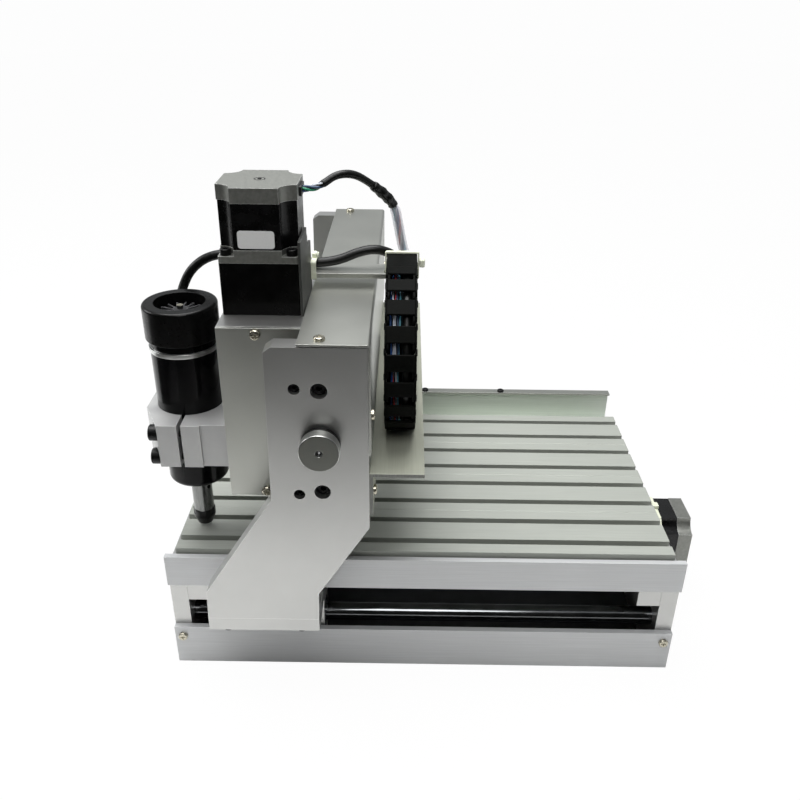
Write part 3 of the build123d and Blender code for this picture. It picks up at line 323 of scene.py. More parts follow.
# Settings of grained(), by material: colours as hex codes, scales per metre.
METALS = {
    "table_aluminium": dict(dark="9b9e97", light="a5a8a1", metallic=0.18, rough=(0.46, 0.56),
        scale=45, stretch=ALONG_Y, bump=0.12, wear="a6a9a2", wear_radius=0.0005),
    "plate_aluminium": dict(dark="b2b2b0", light="bcbcba", metallic=0.93, rough=(0.32, 0.37),
        scale=12, wear="f2f3f1", wear_radius=0.0006, grain=1400),
    "cast_aluminium": dict(dark="b2b2b2", light="bcbcbb", metallic=0.55, rough=(0.4, 0.5),
        scale=60, bump=0.12, wear="e6e6e5", wear_radius=0.0006),
    "rail_aluminium": dict(dark="bcbdbe", light="c6c7c8", metallic=0.25, rough=(0.36, 0.44),
        scale=30, stretch=ALONG_Y, bump=0.08, wear="e6e7e8", wear_radius=0.0005),
    "motor_end_aluminium": dict(dark="80817c", light="8e8f8a", metallic=0.75, rough=(0.36, 0.48),
        scale=400, bump=0.2, wear="f0f1ee", wear_radius=0.0007),
    "cover_sheet": dict(dark="aeafa9", light="b8b9b3", metallic=1.0, rough=(0.36, 0.41), scale=14,
        wear="eef0ec", wear_radius=0.0006, grain=1400),
    "shelf_sheet": dict(dark="96988a", light="a1a395", metallic=0.12, rough=(0.5, 0.6), scale=30,
        stretch=ALONG_X, wear="b4b5aa", wear_radius=0.0006),
    # Painted reflected light: the cable tray's wall below its lip.
    "tray_sheet": dict(dark="d3dad0", light="dde3da", metallic=0.05, rough=(0.4, 0.5), scale=30,
        stretch=ALONG_Y, wear="e4e8e2", wear_radius=0.0007),
    # bottom_sheet: the base's bottom plate, dark grey as painted shade inside the base.
    "bottom_sheet": dict(dark="3a3b3d", light="48494b", metallic=0.7, rough=(0.42, 0.55), scale=60,
        wear="6a6b6d", wear_radius=0.0005),
    # Sawn ends: real saw marks, and a darker colour that is painted shade.
    "sawn_edge": dict(dark="70716d", light="8a8b87", metallic=0.5, rough=(0.45, 0.6), scale=300,
        stretch=(1, 6, 1), bump=0.3, wear="9b9c98", wear_radius=0.0004),
    # Painted shade: the cable bracket's upright, darker than the rest of the bracket.
    "plate_dark": dict(dark="3c3d3b", light="4a4b49", metallic=0.5, rough=(0.4, 0.5), scale=60,
        wear="8c8d8a", wear_radius=0.0006),
    "ground_steel": dict(dark="c8cacc", light="dedfe1", metallic=1.0, rough=(0.10, 0.15), scale=60,
        bump=0.03),
    # Painted shade: the guide rods, a darker copy of the ground steel.
    "rod_steel": dict(dark="6e7072", light="7f8183", metallic=1.0, rough=(0.12, 0.17), scale=60,
        bump=0.03),
    "shaft_steel": dict(dark="6c6d6c", light="7e7f7d", metallic=1.0, rough=(0.2, 0.3), scale=90,
        stretch=(30, 30, 1), wear="a5a6a4", wear_radius=0.0004),
    "screw_steel": dict(dark="a8a496", light="c9c4b2", metallic=1.0, rough=(0.2, 0.34), scale=700,
        bump=0.15, wear="e6e2d4", wear_radius=0.0003),
    "black_steel": dict(dark="0c0c0c", light="1a1a1a", metallic=0.6, rough=(0.28, 0.44), scale=900,
        bump=0.2, wear="4a4a4a", wear_radius=0.0003),
    "leadscrew_steel": dict(dark="8d8e90", light="b2b3b5", metallic=1.0, rough=(0.22, 0.36),
        scale=500, bump=0.2, wear="d8d9da", wear_radius=0.0003),
    "bearing_steel": dict(dark="a0a2a5", light="babcbf", metallic=1.0, rough=(0.18, 0.3),
        scale=300),
    "nut_brass": dict(dark="b08a3e", light="cba659", metallic=1.0, rough=(0.24, 0.38), scale=300,
        bump=0.15, wear="e4cf93", wear_radius=0.0004),
}

PLASTICS = {
    "motor_black": dict(dark="030303", light="080809", metallic=0.0, rough=(0.22, 0.34), scale=120,
        bump=0.08, wear="303032", wear_radius=0.0005, Specular_IOR_Level=0.35),
    "block_black": dict(dark="030303", light="070707", metallic=0.0, rough=(0.18, 0.28), scale=90,
        bump=0.05, wear="3c3c3a", wear_radius=0.0005, Specular_IOR_Level=0.18),
    "spindle_black": dict(dark="020203", light="060607", metallic=0.0, rough=(0.14, 0.22),
        scale=90, bump=0.03, wear="1c1c1e", wear_radius=0.0005, Coat_Weight=0.06,
        Coat_Roughness=0.06, Specular_IOR_Level=0.12),
    "cap_black": dict(dark="040404", light="0a0a0a", metallic=0.0, rough=(0.26, 0.36), scale=500,
        bump=0.08, wear="2a2a2b", Specular_IOR_Level=0.12, Coat_Weight=0.12, Coat_Roughness=0.12),
    "fan_black": dict(dark="141415", light="242426", metallic=0.0, rough=(0.32, 0.45), scale=500,
        bump=0.15, wear="8a8a8c", wear_radius=0.0005),
    "chain_plastic": dict(dark="050605", light="0c0d0b", metallic=0.0, rough=(0.5, 0.62),
        scale=600, bump=0.2, wear="1c1d1a", wear_radius=0.0004, Specular_IOR_Level=0.04),
    "tie_nylon": dict(dark="d4d8c0", light="e4e7d4", metallic=0.0, rough=(0.3, 0.45), scale=300,
        wear="f0f2e6", wear_radius=0.0004),
    "lead_black": dict(dark="050605", light="0e0f0d", metallic=0.0, rough=(0.3, 0.42), scale=500,
        bump=0.12, Specular_IOR_Level=0.3),
    "label_foil": dict(dark="d6d6d5", light="e2e2e1", metallic=0.0, rough=(0.4, 0.5), scale=200,
        stretch=(1, 6, 30), bump=0.05, wear="d8d8d7", wear_radius=0.0004),
    "connector_black": dict(dark="0b0b0c", light="161617", metallic=0.0, rough=(0.35, 0.5),
        scale=500, bump=0.15, wear="303031", wear_radius=0.0004),
}

# Dark and light colour of each wire.
WIRES = {
    "wire_green": ("0d6f52", "189068"),
    "wire_blue": ("1c3f78", "2f5590"),
    "wire_teal": ("4a93a8", "78b6c6"),
    "wire_red": ("a8303a", "cc4a52"),
    "wire_white": ("a9adb6", "c4c8d0"),
    "wire_navy": ("22344f", "3a5372"),
}


def make_looks():
    """One material for each slot of the record, and those of the added pieces."""
    looks = {name: grained(name, **settings) for name, settings in {**METALS, **PLASTICS}.items()}
    for name, (dark, light) in WIRES.items():
        looks[name] = grained(name, dark, light, metallic=0.0, rough=(0.3, 0.45), scale=400)
    knob = middle("x_handwheel") * MM
    spindle = (SPINDLE_X * MM, SPINDLE_Y * MM, 0.0)
    looks["turned_aluminium"] = turned("turned_aluminium", "bcbdba", "d0d1ce", knob, "X")
    # The knob's face: the same turned aluminium, darker as painted shade.
    looks["knob_face"] = turned("knob_face", "6c6d68", "797a75", knob, "X", (0.3, 0.4))
    looks["ring_aluminium"] = turned("ring_aluminium", "b9bab8", "e3e4e2", spindle, "Z")
    looks["sleeve_clear"] = clear_sleeve()
    return looks


def clear_sleeve():
    """Thin clear tube: mostly see-through, with a soft gloss and a milky tint."""
    material, tree, shader = new_look("sleeve_clear", 0.0, IOR=1.35)
    haze = noise_fac(tree, 250)
    tree.links.new(ramp(tree, haze, [(0.3, srgb("e4e6ee")), (0.7, srgb("f6f7fb"))]),
                   shader.inputs["Base Color"])
    tree.links.new(remap(tree, haze, 0.15, 0.3), shader.inputs["Roughness"])
    shader.inputs["Alpha"].default_value = 0.45
    return material


# ---- mesh helpers ----
def add_piece(name, mesh, looks, body=None):
    """Links a mesh as a piece. looks is one material or a list in the mesh's material order."""
    piece = bpy.data.objects.new(name, mesh)
    scene.collection.objects.link(piece)
    for material in looks if isinstance(looks, list) else [looks]:
        mesh.materials.append(material)
    if body:
        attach(piece, body)
    return piece


def to_mesh(shape, name, smooth=True):
    bmesh.ops.recalc_face_normals(shape, faces=shape.faces)
    mesh = bpy.data.meshes.new(name)
    shape.to_mesh(mesh)
    shape.free()
    for polygon in mesh.polygons:
        polygon.use_smooth = smooth
    return mesh


def round_edges(piece, width, angle=35.0, segments=2):
    """Weld, flat faces merged, bevel and weighted normals, so that edges catch the light."""
    weld = piece.modifiers.new("weld", "WELD")
    weld.merge_threshold = 0.00001
    planar = piece.modifiers.new("planar", "DECIMATE")
    planar.decimate_type = "DISSOLVE"
    planar.angle_limit = math.radians(1.0)
    bevel = piece.modifiers.new("bevel", "BEVEL")
    bevel.width = width
    bevel.segments = segments
    bevel.limit_method = "ANGLE"
    bevel.angle_limit = math.radians(angle)
    normals = piece.modifiers.new("normals", "WEIGHTED_NORMAL")
    normals.keep_sharp = True
    normals.weight = 80


def add_ring_strip(shape, rings, material=0):
    """Faces between rings of vertices, each a closed loop of the same count, and both end faces."""
    count = len(rings[0])
    for ring, following in zip(rings, rings[1:]):
        for i in range(count):
            j = (i + 1) % count
            face = shape.faces.new((ring[i], ring[j], following[j], following[i]))
            face.material_index = material
    shape.faces.new(list(reversed(rings[0]))).material_index = material
    shape.faces.new(rings[-1]).material_index = material


def add_prism(shape, outline, low, high, place):
    """Closed prism: outline points are (s, h), swept from low to high across the width."""
    rings = []
    for w in (low, high):
        rings.append([shape.verts.new(place @ (Vector((s, w, h)) * MM)) for s, h in outline])
    add_ring_strip(shape, rings)


def rounded_box(half_s, half_h, radius, centre=(0.0, 0.0), steps=4):
    """Outline of a rectangle with round corners."""
    points = []
    for quarter, (sx, sy) in enumerate(((1, 1), (-1, 1), (-1, -1), (1, -1))):
        for i in range(steps + 1):
            angle = math.radians(90 * (quarter + i / steps))
            points.append((centre[0] + sx * (half_s - radius) + radius * math.cos(angle),
                           centre[1] + sy * (half_h - radius) + radius * math.sin(angle)))
    return points


def lathe(profile, place, steps, shape=None):
    """Closed solid of revolution: profile points are (radius, height) in millimetres."""
    shape = shape or bmesh.new()
    rings = []
    for i in range(steps):
        angle = 2 * math.pi * i / steps
        ring = [Vector((r * math.cos(angle), r * math.sin(angle), z)) for r, z in profile]
        rings.append([shape.verts.new(place @ (point * MM)) for point in ring])
    for i in range(steps):
        ring, following = rings[i], rings[(i + 1) % steps]
        for j in range(len(profile)):
            k = (j + 1) % len(profile)
            shape.faces.new((ring[j], following[j], following[k], ring[k]))
    return shape


def line_frames(points):
    """(point, side, up) along a line, turning only as the line does."""
    frames = []
    side = (points[1] - points[0]).orthogonal().normalized()
    for i, point in enumerate(points):
        before = points[max(i - 1, 0)]
        after = points[min(i + 1, len(points) - 1)]
        ahead = (after - before).normalized()
        side = (side - ahead * side.dot(ahead)).normalized()
        frames.append((point, side, ahead.cross(side)))
    return frames


def distances(points):
    """Distance of each point along the line, in metres."""
    run = [0.0]
    for before, after in zip(points, points[1:]):
        run.append(run[-1] + (after - before).length)
    return run


def stretch_of(points, start, end):
    """The part of a line between two distances in millimetres."""
    return [p for p, d in zip(points, distances(points)) if start * MM <= d <= end * MM]


def twisted(points, away, turn_mm, phase):
    """A line that winds round another at a distance away, once in turn_mm."""
    strand = []
    for (point, side, up), run in zip(line_frames(points), distances(points)):
        angle = phase + 2 * math.pi * run / (turn_mm * MM)
        strand.append(point + (side * math.cos(angle) + up * math.sin(angle)) * away * MM)
    return strand


def add_tube(shape, points, radius, sides=16, material=0):
    """Closed tube in millimetres of radius, which may be a function of the distance in mm."""
    size = radius if callable(radius) else lambda run: radius
    rings = []
    for (point, side, up), run in zip(line_frames(points), distances(points)):
        r = size(run / MM) * MM
        ring = []
        for i in range(sides):
            angle = 2 * math.pi * i / sides
            ring.append(shape.verts.new(point + (side * math.cos(angle) + up * math.sin(angle)) * r))
        rings.append(ring)
    add_ring_strip(shape, rings, material=material)
    return shape


def route_line(route):
    """Points of the smooth line that a route's NURBS spline gives."""
    curve = bpy.data.curves.new("route", "CURVE")
    curve.dimensions = "3D"
    curve.resolution_u = 14
    spline = curve.splines.new("NURBS")
    spline.points.add(len(route) - 1)
    for point, place in zip(spline.points, route):
        point.co = (*(Vector(place) * MM), 1.0)
    spline.order_u = 3
    spline.use_endpoint_u = True
    holder = bpy.data.objects.new("route", curve)
    scene.collection.objects.link(holder)
    line = bpy.data.meshes.new_from_object(holder)
    points = [v.co.copy() for v in line.vertices]
    bpy.data.objects.remove(holder)
    return points


# ---- lead screws ----
AXIS_TURNS = {"X": Matrix.Rotation(math.radians(90), 4, "Y"),
              "Y": Matrix.Rotation(math.radians(-90), 4, "X"),
              "Z": Matrix.Identity(4)}


def add_thread(shape, radius, start, end, place):
    """Helical surface: each row of points is the thread's section at one step of the turn."""
    rows = []
    for step in range(int((end - start) / SCREW_PITCH) * THREAD_SIDES + 1):
        angle = 2 * math.pi * step / THREAD_SIDES
        rise = start + SCREW_PITCH * step / THREAD_SIDES
        row = []
        for share, depth in THREAD_PROFILE:
            r = radius - THREAD_DEPTH * depth
            at = Vector((r * math.cos(angle), r * math.sin(angle), rise + share * SCREW_PITCH))
            row.append(shape.verts.new(place @ (at * MM)))
        rows.append(row)
    for row, following in zip(rows, rows[1:]):
        for i in range(len(row) - 1):
            shape.faces.new((row[i], following[i], following[i + 1], row[i + 1]))
    for step in range(len(rows) - THREAD_SIDES - 1):
        shape.faces.new((rows[step][-1], rows[step + 1][-1],
                         rows[step + THREAD_SIDES + 1][0], rows[step + THREAD_SIDES][0]))


def add_journals(shape, ends, start, end, radius, place):
    """Core under the thread and the two plain ends, each with a bevelled tip."""
    core = radius - THREAD_DEPTH - 0.2
    gap = 0.5
    tip = JOURNAL_R - JOURNAL_BEVEL
    lathe([(0.0, ends[0]), (tip, ends[0]), (JOURNAL_R, ends[0] + JOURNAL_BEVEL),
           (JOURNAL_R, start - gap), (core, start - gap), (core, end + gap),
           (JOURNAL_R, end + gap), (JOURNAL_R, ends[1] - JOURNAL_BEVEL), (tip, ends[1]),
           (0.0, ends[1])], place, 32, shape=shape)


def threaded(node, body, axis, stretch, looks):
    """Screw with a trapezoid thread over a stretch of its axis, and its plain journals."""
    low, high = (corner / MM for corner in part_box(node))
    index = "XYZ".index(axis)
    centre = (low + high) / 2
    radius = (high[(index + 1) % 3] - low[(index + 1) % 3]) / 2
    centre[index] = 0.0
    place = Matrix.Translation(centre * MM) @ AXIS_TURNS[axis]
    shape = bmesh.new()
    add_thread(shape, radius, *stretch, place)
    add_journals(shape, (low[index], high[index]), *stretch, radius, place)
    bmesh.ops.remove_doubles(shape, verts=shape.verts, dist=0.000001)
    piece = add_piece(node + "_thread", to_mesh(shape, node), looks["leadscrew_steel"], body)
    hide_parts(node)


# ---- drag chain ----
def chain_place(distance):
    """Frame of the chain at a distance along its middle line: X ahead, Z outwards."""
    straight = CHAIN_BEND_X - CHAIN_START_X
    turn = math.pi * CHAIN_BEND_R
    upper_z = CHAIN_LOW_Z + 2 * CHAIN_BEND_R
    if distance < straight:
        x, z, angle = CHAIN_START_X + distance, upper_z, 0.0
    elif distance < straight + turn:
        angle = (distance - straight) / CHAIN_BEND_R
        x = CHAIN_BEND_X + CHAIN_BEND_R * math.sin(angle)
        z = CHAIN_LOW_Z + CHAIN_BEND_R * (1 + math.cos(angle))
    else:
        x, z, angle = CHAIN_BEND_X - (distance - straight - turn), CHAIN_LOW_Z, math.pi
    return Matrix.Translation(Vector((x, CHAIN_Y, z)) * MM) @ Matrix.Rotation(angle, 4, "Y")


def add_link(shape, place):
    """One link: outer cheeks, the tongues that reach into the next link, pins and two bars."""
    half_w, half_h = CHAIN_W / 2, CHAIN_H / 2
    cheek = rounded_box(CHEEK_HALF, half_h - 0.3, CHAIN_ROUND)
    tongue = rounded_box(TONGUE_HALF, half_h - 1.3, TONGUE_ROUND, (TONGUE_AHEAD, 0.0))
    pin = rounded_box(PIN_R, PIN_R, PIN_R, (-PIN_BACK, 0.0))
    outer = half_w - PIN_OUT
    between = half_w - CHAIN_CHEEK / 2
    inner = half_w - CHAIN_CHEEK
    walls = ((cheek, between, outer), (tongue, inner, between - 0.15), (pin, outer - 0.2, half_w))
    for side in (-1, 1):
        for outline, near, far in walls:
            low, high = sorted((side * near, side * far))
            add_prism(shape, outline, low, high, place)
    reach = between - 0.1
    level = half_h - CHAIN_BAR_T
    bar = (CHAIN_PITCH - CHAIN_WINDOW) / 2
    for half_length, height in ((bar, level), (CHAIN_PITCH / 2 - FLOOR_GAP, -level)):
        outline = rounded_box(half_length, CHAIN_BAR_T, 0.7, (0.0, height), 2)
        add_prism(shape, outline, -reach, reach, place)


def add_end_connector(shape):
    """Closed box on the bracket's arm, with a stepped mouth and two bolt bosses."""
    length = CHAIN_PLAIN * CHAIN_PITCH + CHAIN_WINDOW / 2 - 0.4
    place = chain_place(length / 2)
    half_w, half_h, half_mouth = CHAIN_W / 2, CHAIN_H / 2, MOUTH_L / 2
    body = rounded_box(length / 2 - 1.5, half_h - 0.2, CHAIN_ROUND, (1.5, 0.0))
    mouth = rounded_box(half_mouth, half_h - 1.0, 1.2, (half_mouth - length / 2, 0.0))
    add_prism(shape, body, 0.4 - half_w, half_w - 0.4, place)
    add_prism(shape, mouth, 1.4 - half_w, half_w - 1.4, place)
    for s in BOSS_AT:
        for low in (-half_w, half_w - BOSS_T):
            add_prism(shape, rounded_box(BOSS_R, BOSS_R, 2.3, (s, 0.0)), low, low + BOSS_T, place)


def chain_links(looks):
    shape = bmesh.new()
    add_end_connector(shape)
    for i in range(CHAIN_PLAIN, CHAIN_LINKS):
        add_link(shape, chain_place((i + 0.5) * CHAIN_PITCH))
    links = add_piece("drag_chain_links", to_mesh(shape, "drag_chain_links", False),
                      looks["chain_plastic"])
    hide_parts("drag_chain")
    round_edges(links, CHAIN_EDGE, segments=1)
    return links


def chain_line(offset):
    """Points through the chain; offset gives (across, outwards) at a distance, in millimetres."""
    length = CHAIN_LINKS * CHAIN_PITCH - 2 * CHAIN_END
    runs = [CHAIN_END + length * i / CHAIN_STEPS for i in range(CHAIN_STEPS + 1)]
    return [chain_place(run) @ (Vector((0, *offset(run))) * MM) for run in runs]


def chain_wires(looks):
    """Loose wires side by side, each swaying in its own rhythm."""
    colours = ["wire_blue", "wire_white", "wire_red", "wire_white", "wire_navy", "wire_teal"]
    shape = bmesh.new()
    for index in range(len(colours)):
        def loose(run):
            across = -6.8 + 1.1 * index + 0.7 * math.sin(run / 17 + index * 1.9)
            return across, 1.2 * math.cos(run / 23 + index * 2.4)
        add_tube(shape, chain_line(loose), WIRE_R, 8, index)
    return add_piece("chain_wires", to_mesh(shape, "chain_wires"), [looks[c] for c in colours])


def chain_cable(looks):
    shape = add_tube(bmesh.new(), chain_line(lambda run: (4.2, 0.4)), CABLE_R, 16)
    return add_piece("chain_cable", to_mesh(shape, "chain_cable"), looks["lead_black"])


def drag_chain(looks):
    """The chain and what lies in it, built in place with the placement baked into the meshes; on the
    machine the part below the bend goes with the gantry and the part above with the carriage.
    """
    for piece in (chain_links(looks), chain_wires(looks), chain_cable(looks)):
        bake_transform(piece)


# ---- leads ----
def jacket_radius(run):
    """Bare wires out of the motor, a sleeve drawn tight over them, then a wider clear sleeve."""
    full = MOTOR_LEAD_D / 2
    if run < SLEEVE_START:
        return BARE_R + 0.9 * max(0.0, run - SLEEVE_START + 6) / 6
    if run < SPLICE_START:
        return full - 0.15 + 0.12 * math.sin(run / 5.0)
    return full + 0.9 * min(1.0, max(0.0, run - SPLICE_END) / 4)


def motor_lead(looks):
    """Twisted wires into a black sleeve, a shrink-wrapped splice, then wires in a clear sleeve."""
    line = route_line(MOTOR_LEAD_ROUTE)
    runs = distances(line)
    shape = add_tube(bmesh.new(), line, jacket_radius, 20)
    for face in shape.faces:
        middle_point = face.calc_center_median()
        nearest = min(range(len(line)), key=lambda i: (line[i] - middle_point).length)
        face.material_index = 1 if runs[nearest] / MM > SPLICE_END - 3 else 0
    sleeve = add_piece("motor_lead_sleeve", to_mesh(shape, "motor_lead_sleeve"),
                       [looks["lead_black"], looks["sleeve_clear"]], "carriage")
    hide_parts("motor_lead")
    tails = strands("motor_tails", stretch_of(line, 0, SLEEVE_START), looks,
                    ["wire_green", "wire_blue", "wire_white", "wire_navy"],
                    away=1.55, turn=30, radius=0.95, sides=10)
    sleeved = strands("motor_sleeved_wires", stretch_of(line, SPLICE_END - 6, runs[-1] / MM), looks,
                      ["wire_red", "wire_blue", "wire_white", "wire_teal", "wire_navy", "wire_white"],
                      away=1.6, turn=46, radius=0.78, sides=8)
    splice(line, looks)


def strands(name, line, looks, colours, away, turn, radius, sides):
    """Wires that wind round a line at a distance away, once in each turn of so many mm."""
    shape = bmesh.new()
    for index in range(len(colours)):
        phase = 2 * math.pi * index / len(colours)
        add_tube(shape, twisted(line, away, turn, phase), radius, sides, index)
    return add_piece(name, to_mesh(shape, name), [looks[c] for c in colours], "carriage")


def splice(line, looks):
    """Heat-shrink over the soldered joint: a lumpy, folded tube."""
    def lump(run):
        share = run / (SPLICE_END - SPLICE_START)
        bulge = math.sin(math.pi * min(max(share, 0.0), 1.0)) ** 0.5
        return SPLICE_R + 0.9 * bulge + 0.25 * math.sin(share * 21)

    shape = add_tube(bmesh.new(), stretch_of(line, SPLICE_START, SPLICE_END), lump, 20)
    for vertex in shape.verts:
        swirl = math.sin(vertex.co.x * 1700) * math.cos(vertex.co.z * 1300 + vertex.co.y * 900)
        vertex.co.y += 0.00035 * swirl
        vertex.co.x += 0.00025 * swirl
    return add_piece("motor_lead_splice", to_mesh(shape, "motor_lead_splice"), looks["lead_black"],
                     "carriage")


def spindle_lead(looks):
    """Rubber cable from its arch beside the spindle to the tie on the bracket."""
    line = route_line(SPINDLE_LEAD_ROUTE)
    shape = add_tube(bmesh.new(), line, SPINDLE_LEAD_D / 2, 24)
    lead = add_piece("spindle_lead_jacket", to_mesh(shape, "spindle_lead_jacket"),
                     looks["lead_black"])
    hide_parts("spindle_lead")
    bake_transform(lead)


# ---- motor fittings ----
def plate_piece(name, look, corner_low, corner_high, thin, body, radius=1.2):
    """Thin rounded plate between two corners in millimetres, thin along the named axis."""
    low, high = Vector(corner_low), Vector(corner_high)
    size, centre = high - low, (low + high) / 2
    across, up = {"X": (1, 2), "Y": (0, 2)}[thin]
    turn = Matrix.Rotation(math.radians(-90 if thin == "X" else 0), 4, "Z")
    shape = bmesh.new()
    depth = size["XYZ".index(thin)]
    outline = rounded_box(size[across] / 2, size[up] / 2, radius)
    add_prism(shape, outline, -depth / 2, depth / 2, Matrix.Translation(centre * MM) @ turn)
    piece = add_piece(name, to_mesh(shape, name, False), look, body)
    round_edges(piece, PLATE_EDGE)
    return piece


def motor_label(looks):
    """Blank foil label on the side of the Z motor's stack, a hair above the surface."""
    foot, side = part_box("z_motor_stack")[0].z / MM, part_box("z_motor_stack")[1].x / MM
    label = plate_piece("motor_label", looks["label_foil"],
                        (side - 0.05, MOTOR_Y + LABEL_Y[0], foot + LABEL_Z[0]),
                        (side + 0.2, MOTOR_Y + LABEL_Y[1], foot + LABEL_Z[1]), "X", "carriage",
                        LABEL_ROUND)


def motor_recess_shade(looks):
    """Rear shaft end on top of the Z motor, on a black disc that paints the shade of its shallow
    recess.
    """
    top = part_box("z_motor_bells")[1].z / MM
    place = Matrix.Translation(Vector((MOTOR_X, MOTOR_Y, top)) * MM)
    shape = lathe(RECESS_SHADE_PROFILE, place, 32)
    hub = add_piece("motor_recess_shade", to_mesh(shape, "motor_recess_shade", False), looks["black_steel"],
                    "carriage")
    round_edges(hub, TINY_EDGE)


def knob_shade_ring(looks):
    """Black ring between the hand knob and the side plate, painted shade for the dark gap there."""
    wheel = middle("x_handwheel")
    place = Matrix.Translation(Vector((SIDE_OUT, wheel.y, wheel.z)) * MM) @ AXIS_TURNS["X"]
    shape = lathe(SHADE_RING_PROFILE, place, 64)
    ring = add_piece("knob_shade_ring", to_mesh(shape, "knob_shade_ring"), looks["black_steel"], "x_screw")
    round_edges(ring, TINY_EDGE)


def motor_socket(looks):
    """Wire socket on the rear face of the Z motor's end cap, where its lead leaves."""
    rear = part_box("z_motor_bells")[1].y / MM
    exit_x, _, exit_z = MOTOR_LEAD_ROUTE[0]
    socket = plate_piece("motor_socket", looks["connector_black"],
                         (exit_x - SOCKET_HALF, rear - 0.4, exit_z + SOCKET_Z[0]),
                         (exit_x + SOCKET_HALF, rear + 1.8, exit_z + SOCKET_Z[1]), "Y", "carriage")


# ---- masked faces of CAD nodes ----
def mask_faces(node, look, inside):
    """Adds a material for the faces whose centre passes the test, in millimetres."""
    node.data.materials.append(look)
    for polygon in node.data.polygons:
        if inside(polygon.center / MM):
            polygon.material_index = len(node.data.materials) - 1


def mask_motors(looks):
    """Aluminium ends on the Y and X motors, either side of their black stacks."""
    low, high = (corner.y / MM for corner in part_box("y_motor"))
    bell, cap = low + PILOT_T + Y_BELL_T + FACE_GAP, high - Y_CAP_T - FACE_GAP
    mask_faces(nodes["y_motor"], looks["motor_end_aluminium"], lambda c: c.y < bell or c.y > cap)
    low, high = (corner.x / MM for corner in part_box("x_motor"))
    bell, cap = high - PILOT_T - BELL_T - FACE_GAP, low + CAP_T + FACE_GAP
    mask_faces(nodes["x_motor"], looks["motor_end_aluminium"], lambda c: c.x > bell or c.x < cap)


def mask_spindle(looks):
    """The spindle's ring under the cap, its shaft with a bright end face, and the cast clamp."""
    mask_faces(nodes["spindle_body"], looks["ring_aluminium"],
               lambda c: RING_Z[0] - FACE_GAP < c.z < RING_Z[1] + FACE_GAP)
    mask_faces(nodes["spindle_shaft"], looks["shaft_steel"], lambda c: c.z <= TIP_Z)
    mask_faces(nodes["spindle_shaft"], looks["screw_steel"], lambda c: c.z > TIP_Z)
    mask_faces(nodes["spindle_clamp"], looks["cast_aluminium"], lambda c: True)


def mask_knob(looks):
    """The hand knob's hub painted black as shade of the gap at the side plate, and its turned face
    painted darker as shade.
    """
    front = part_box("x_handwheel")[1].x / MM
    # Painted shade: the hub next to the side plate is black.
    mask_faces(nodes["x_handwheel"], looks["black_steel"], lambda c: c.x < HUB_END)
    # Painted shade: the knob's face is darker than its rim.
    mask_faces(nodes["x_handwheel"], looks["knob_face"], lambda c: c.x > front - FACE_GAP)


def mask_base(looks):
    """Rods darkened as painted shade, the rails, the cable tray below its lip lightened as painted
    reflected light, and the black screws on that lip.
    """
    # Painted shade: the guide rods are a darker copy of the ground steel.
    mask_faces(nodes["y_guide_rods"], looks["rod_steel"], lambda c: True)
    mask_faces(nodes["side_rails"], looks["rail_aluminium"], lambda c: True)
    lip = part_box("cable_tray")[1].z / MM - TRAY_T
    # Painted reflected light: the cable tray below its lip is much lighter than the lip.
    mask_faces(nodes["cable_tray"], looks["tray_sheet"], lambda c: c.z < lip - FACE_GAP)
    mask_faces(nodes["base_screws"], looks["black_steel"], lambda c: c.z > lip - 1)


def mask_gantry(looks):
    """The drag chain's shelf with its sawn ends darkened as painted shade, and the cable bracket's
    upright darkened as painted shade.
    """
    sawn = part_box("chain_shelf")[1].x / MM - SHELF_CUT
    mask_faces(nodes["chain_shelf"], looks["shelf_sheet"], lambda c: abs(c.x) < sawn)
    # The sawn end faces: real saw marks, and a darker colour that is painted shade.
    mask_faces(nodes["chain_shelf"], looks["sawn_edge"], lambda c: abs(c.x) >= sawn)
    arm_top = MOTOR_LEAD_ROUTE[-1][2]
    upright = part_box("cable_bracket")[0].y / MM + BRACKET_T + FACE_GAP
    # Painted shade: the upright of the cable bracket is darker than its arm.
    mask_faces(nodes["cable_bracket"], looks["plate_dark"],
               lambda c: c.y < upright and (c.x > BRACKET_X or c.z > arm_top))


# ---- CAD nodes that stay ----
def finish_nodes(looks):
    """Gives every CAD node its slot's material and a fine rounded edge."""
    slots = {s["node"]: s["material_slot"] for s in frame["record"]["subparts"]}
    for name, node in nodes.items():
        if node.hide_render:
            continue
        node.data.materials.clear()
        node.data.materials.append(looks[slots[name]])
        round_edges(node, FINE_EDGE if name in FINE_NODES else EDGE)
        for polygon in node.data.polygons:
            polygon.use_smooth = True
    for mask in (mask_motors, mask_spindle, mask_knob, mask_base, mask_gantry):
        mask(looks)


# ---- room ----
def make_camera():
    data = bpy.data.cameras.new("camera")
    data.lens = CAMERA_LENS
    camera = bpy.data.objects.new("camera", data)
    scene.collection.objects.link(camera)
    turn = Matrix.Rotation(CAMERA_YAW, 3, "Z")
    forward = turn @ Vector((-math.cos(CAMERA_PITCH), 0, -math.sin(CAMERA_PITCH)))
    level = turn @ Vector((0, 1, 0))
    above = turn @ Vector((-math.sin(CAMERA_PITCH), 0, math.cos(CAMERA_PITCH)))
    right = level * math.cos(CAMERA_ROLL) + above * math.sin(CAMERA_ROLL)
    up = above * math.cos(CAMERA_ROLL) - level * math.sin(CAMERA_ROLL)
    axes = Matrix((right, up, -forward)).transposed()
    camera.matrix_world = Matrix.Translation(CAMERA_AT) @ axes.to_4x4()
    scene.camera = camera


def area_light(name, at, aim, size, power):
    data = bpy.data.lights.new(name, "AREA")
    data.shape = "DISK"
    data.size = size
    data.energy = power
    light = bpy.data.objects.new(name, data)
    scene.collection.objects.link(light)
    direction = Vector(aim) - Vector(at)
    aimed = direction.to_track_quat("-Z", "Y").to_matrix().to_4x4()
    light.matrix_world = Matrix.Translation(at) @ aimed


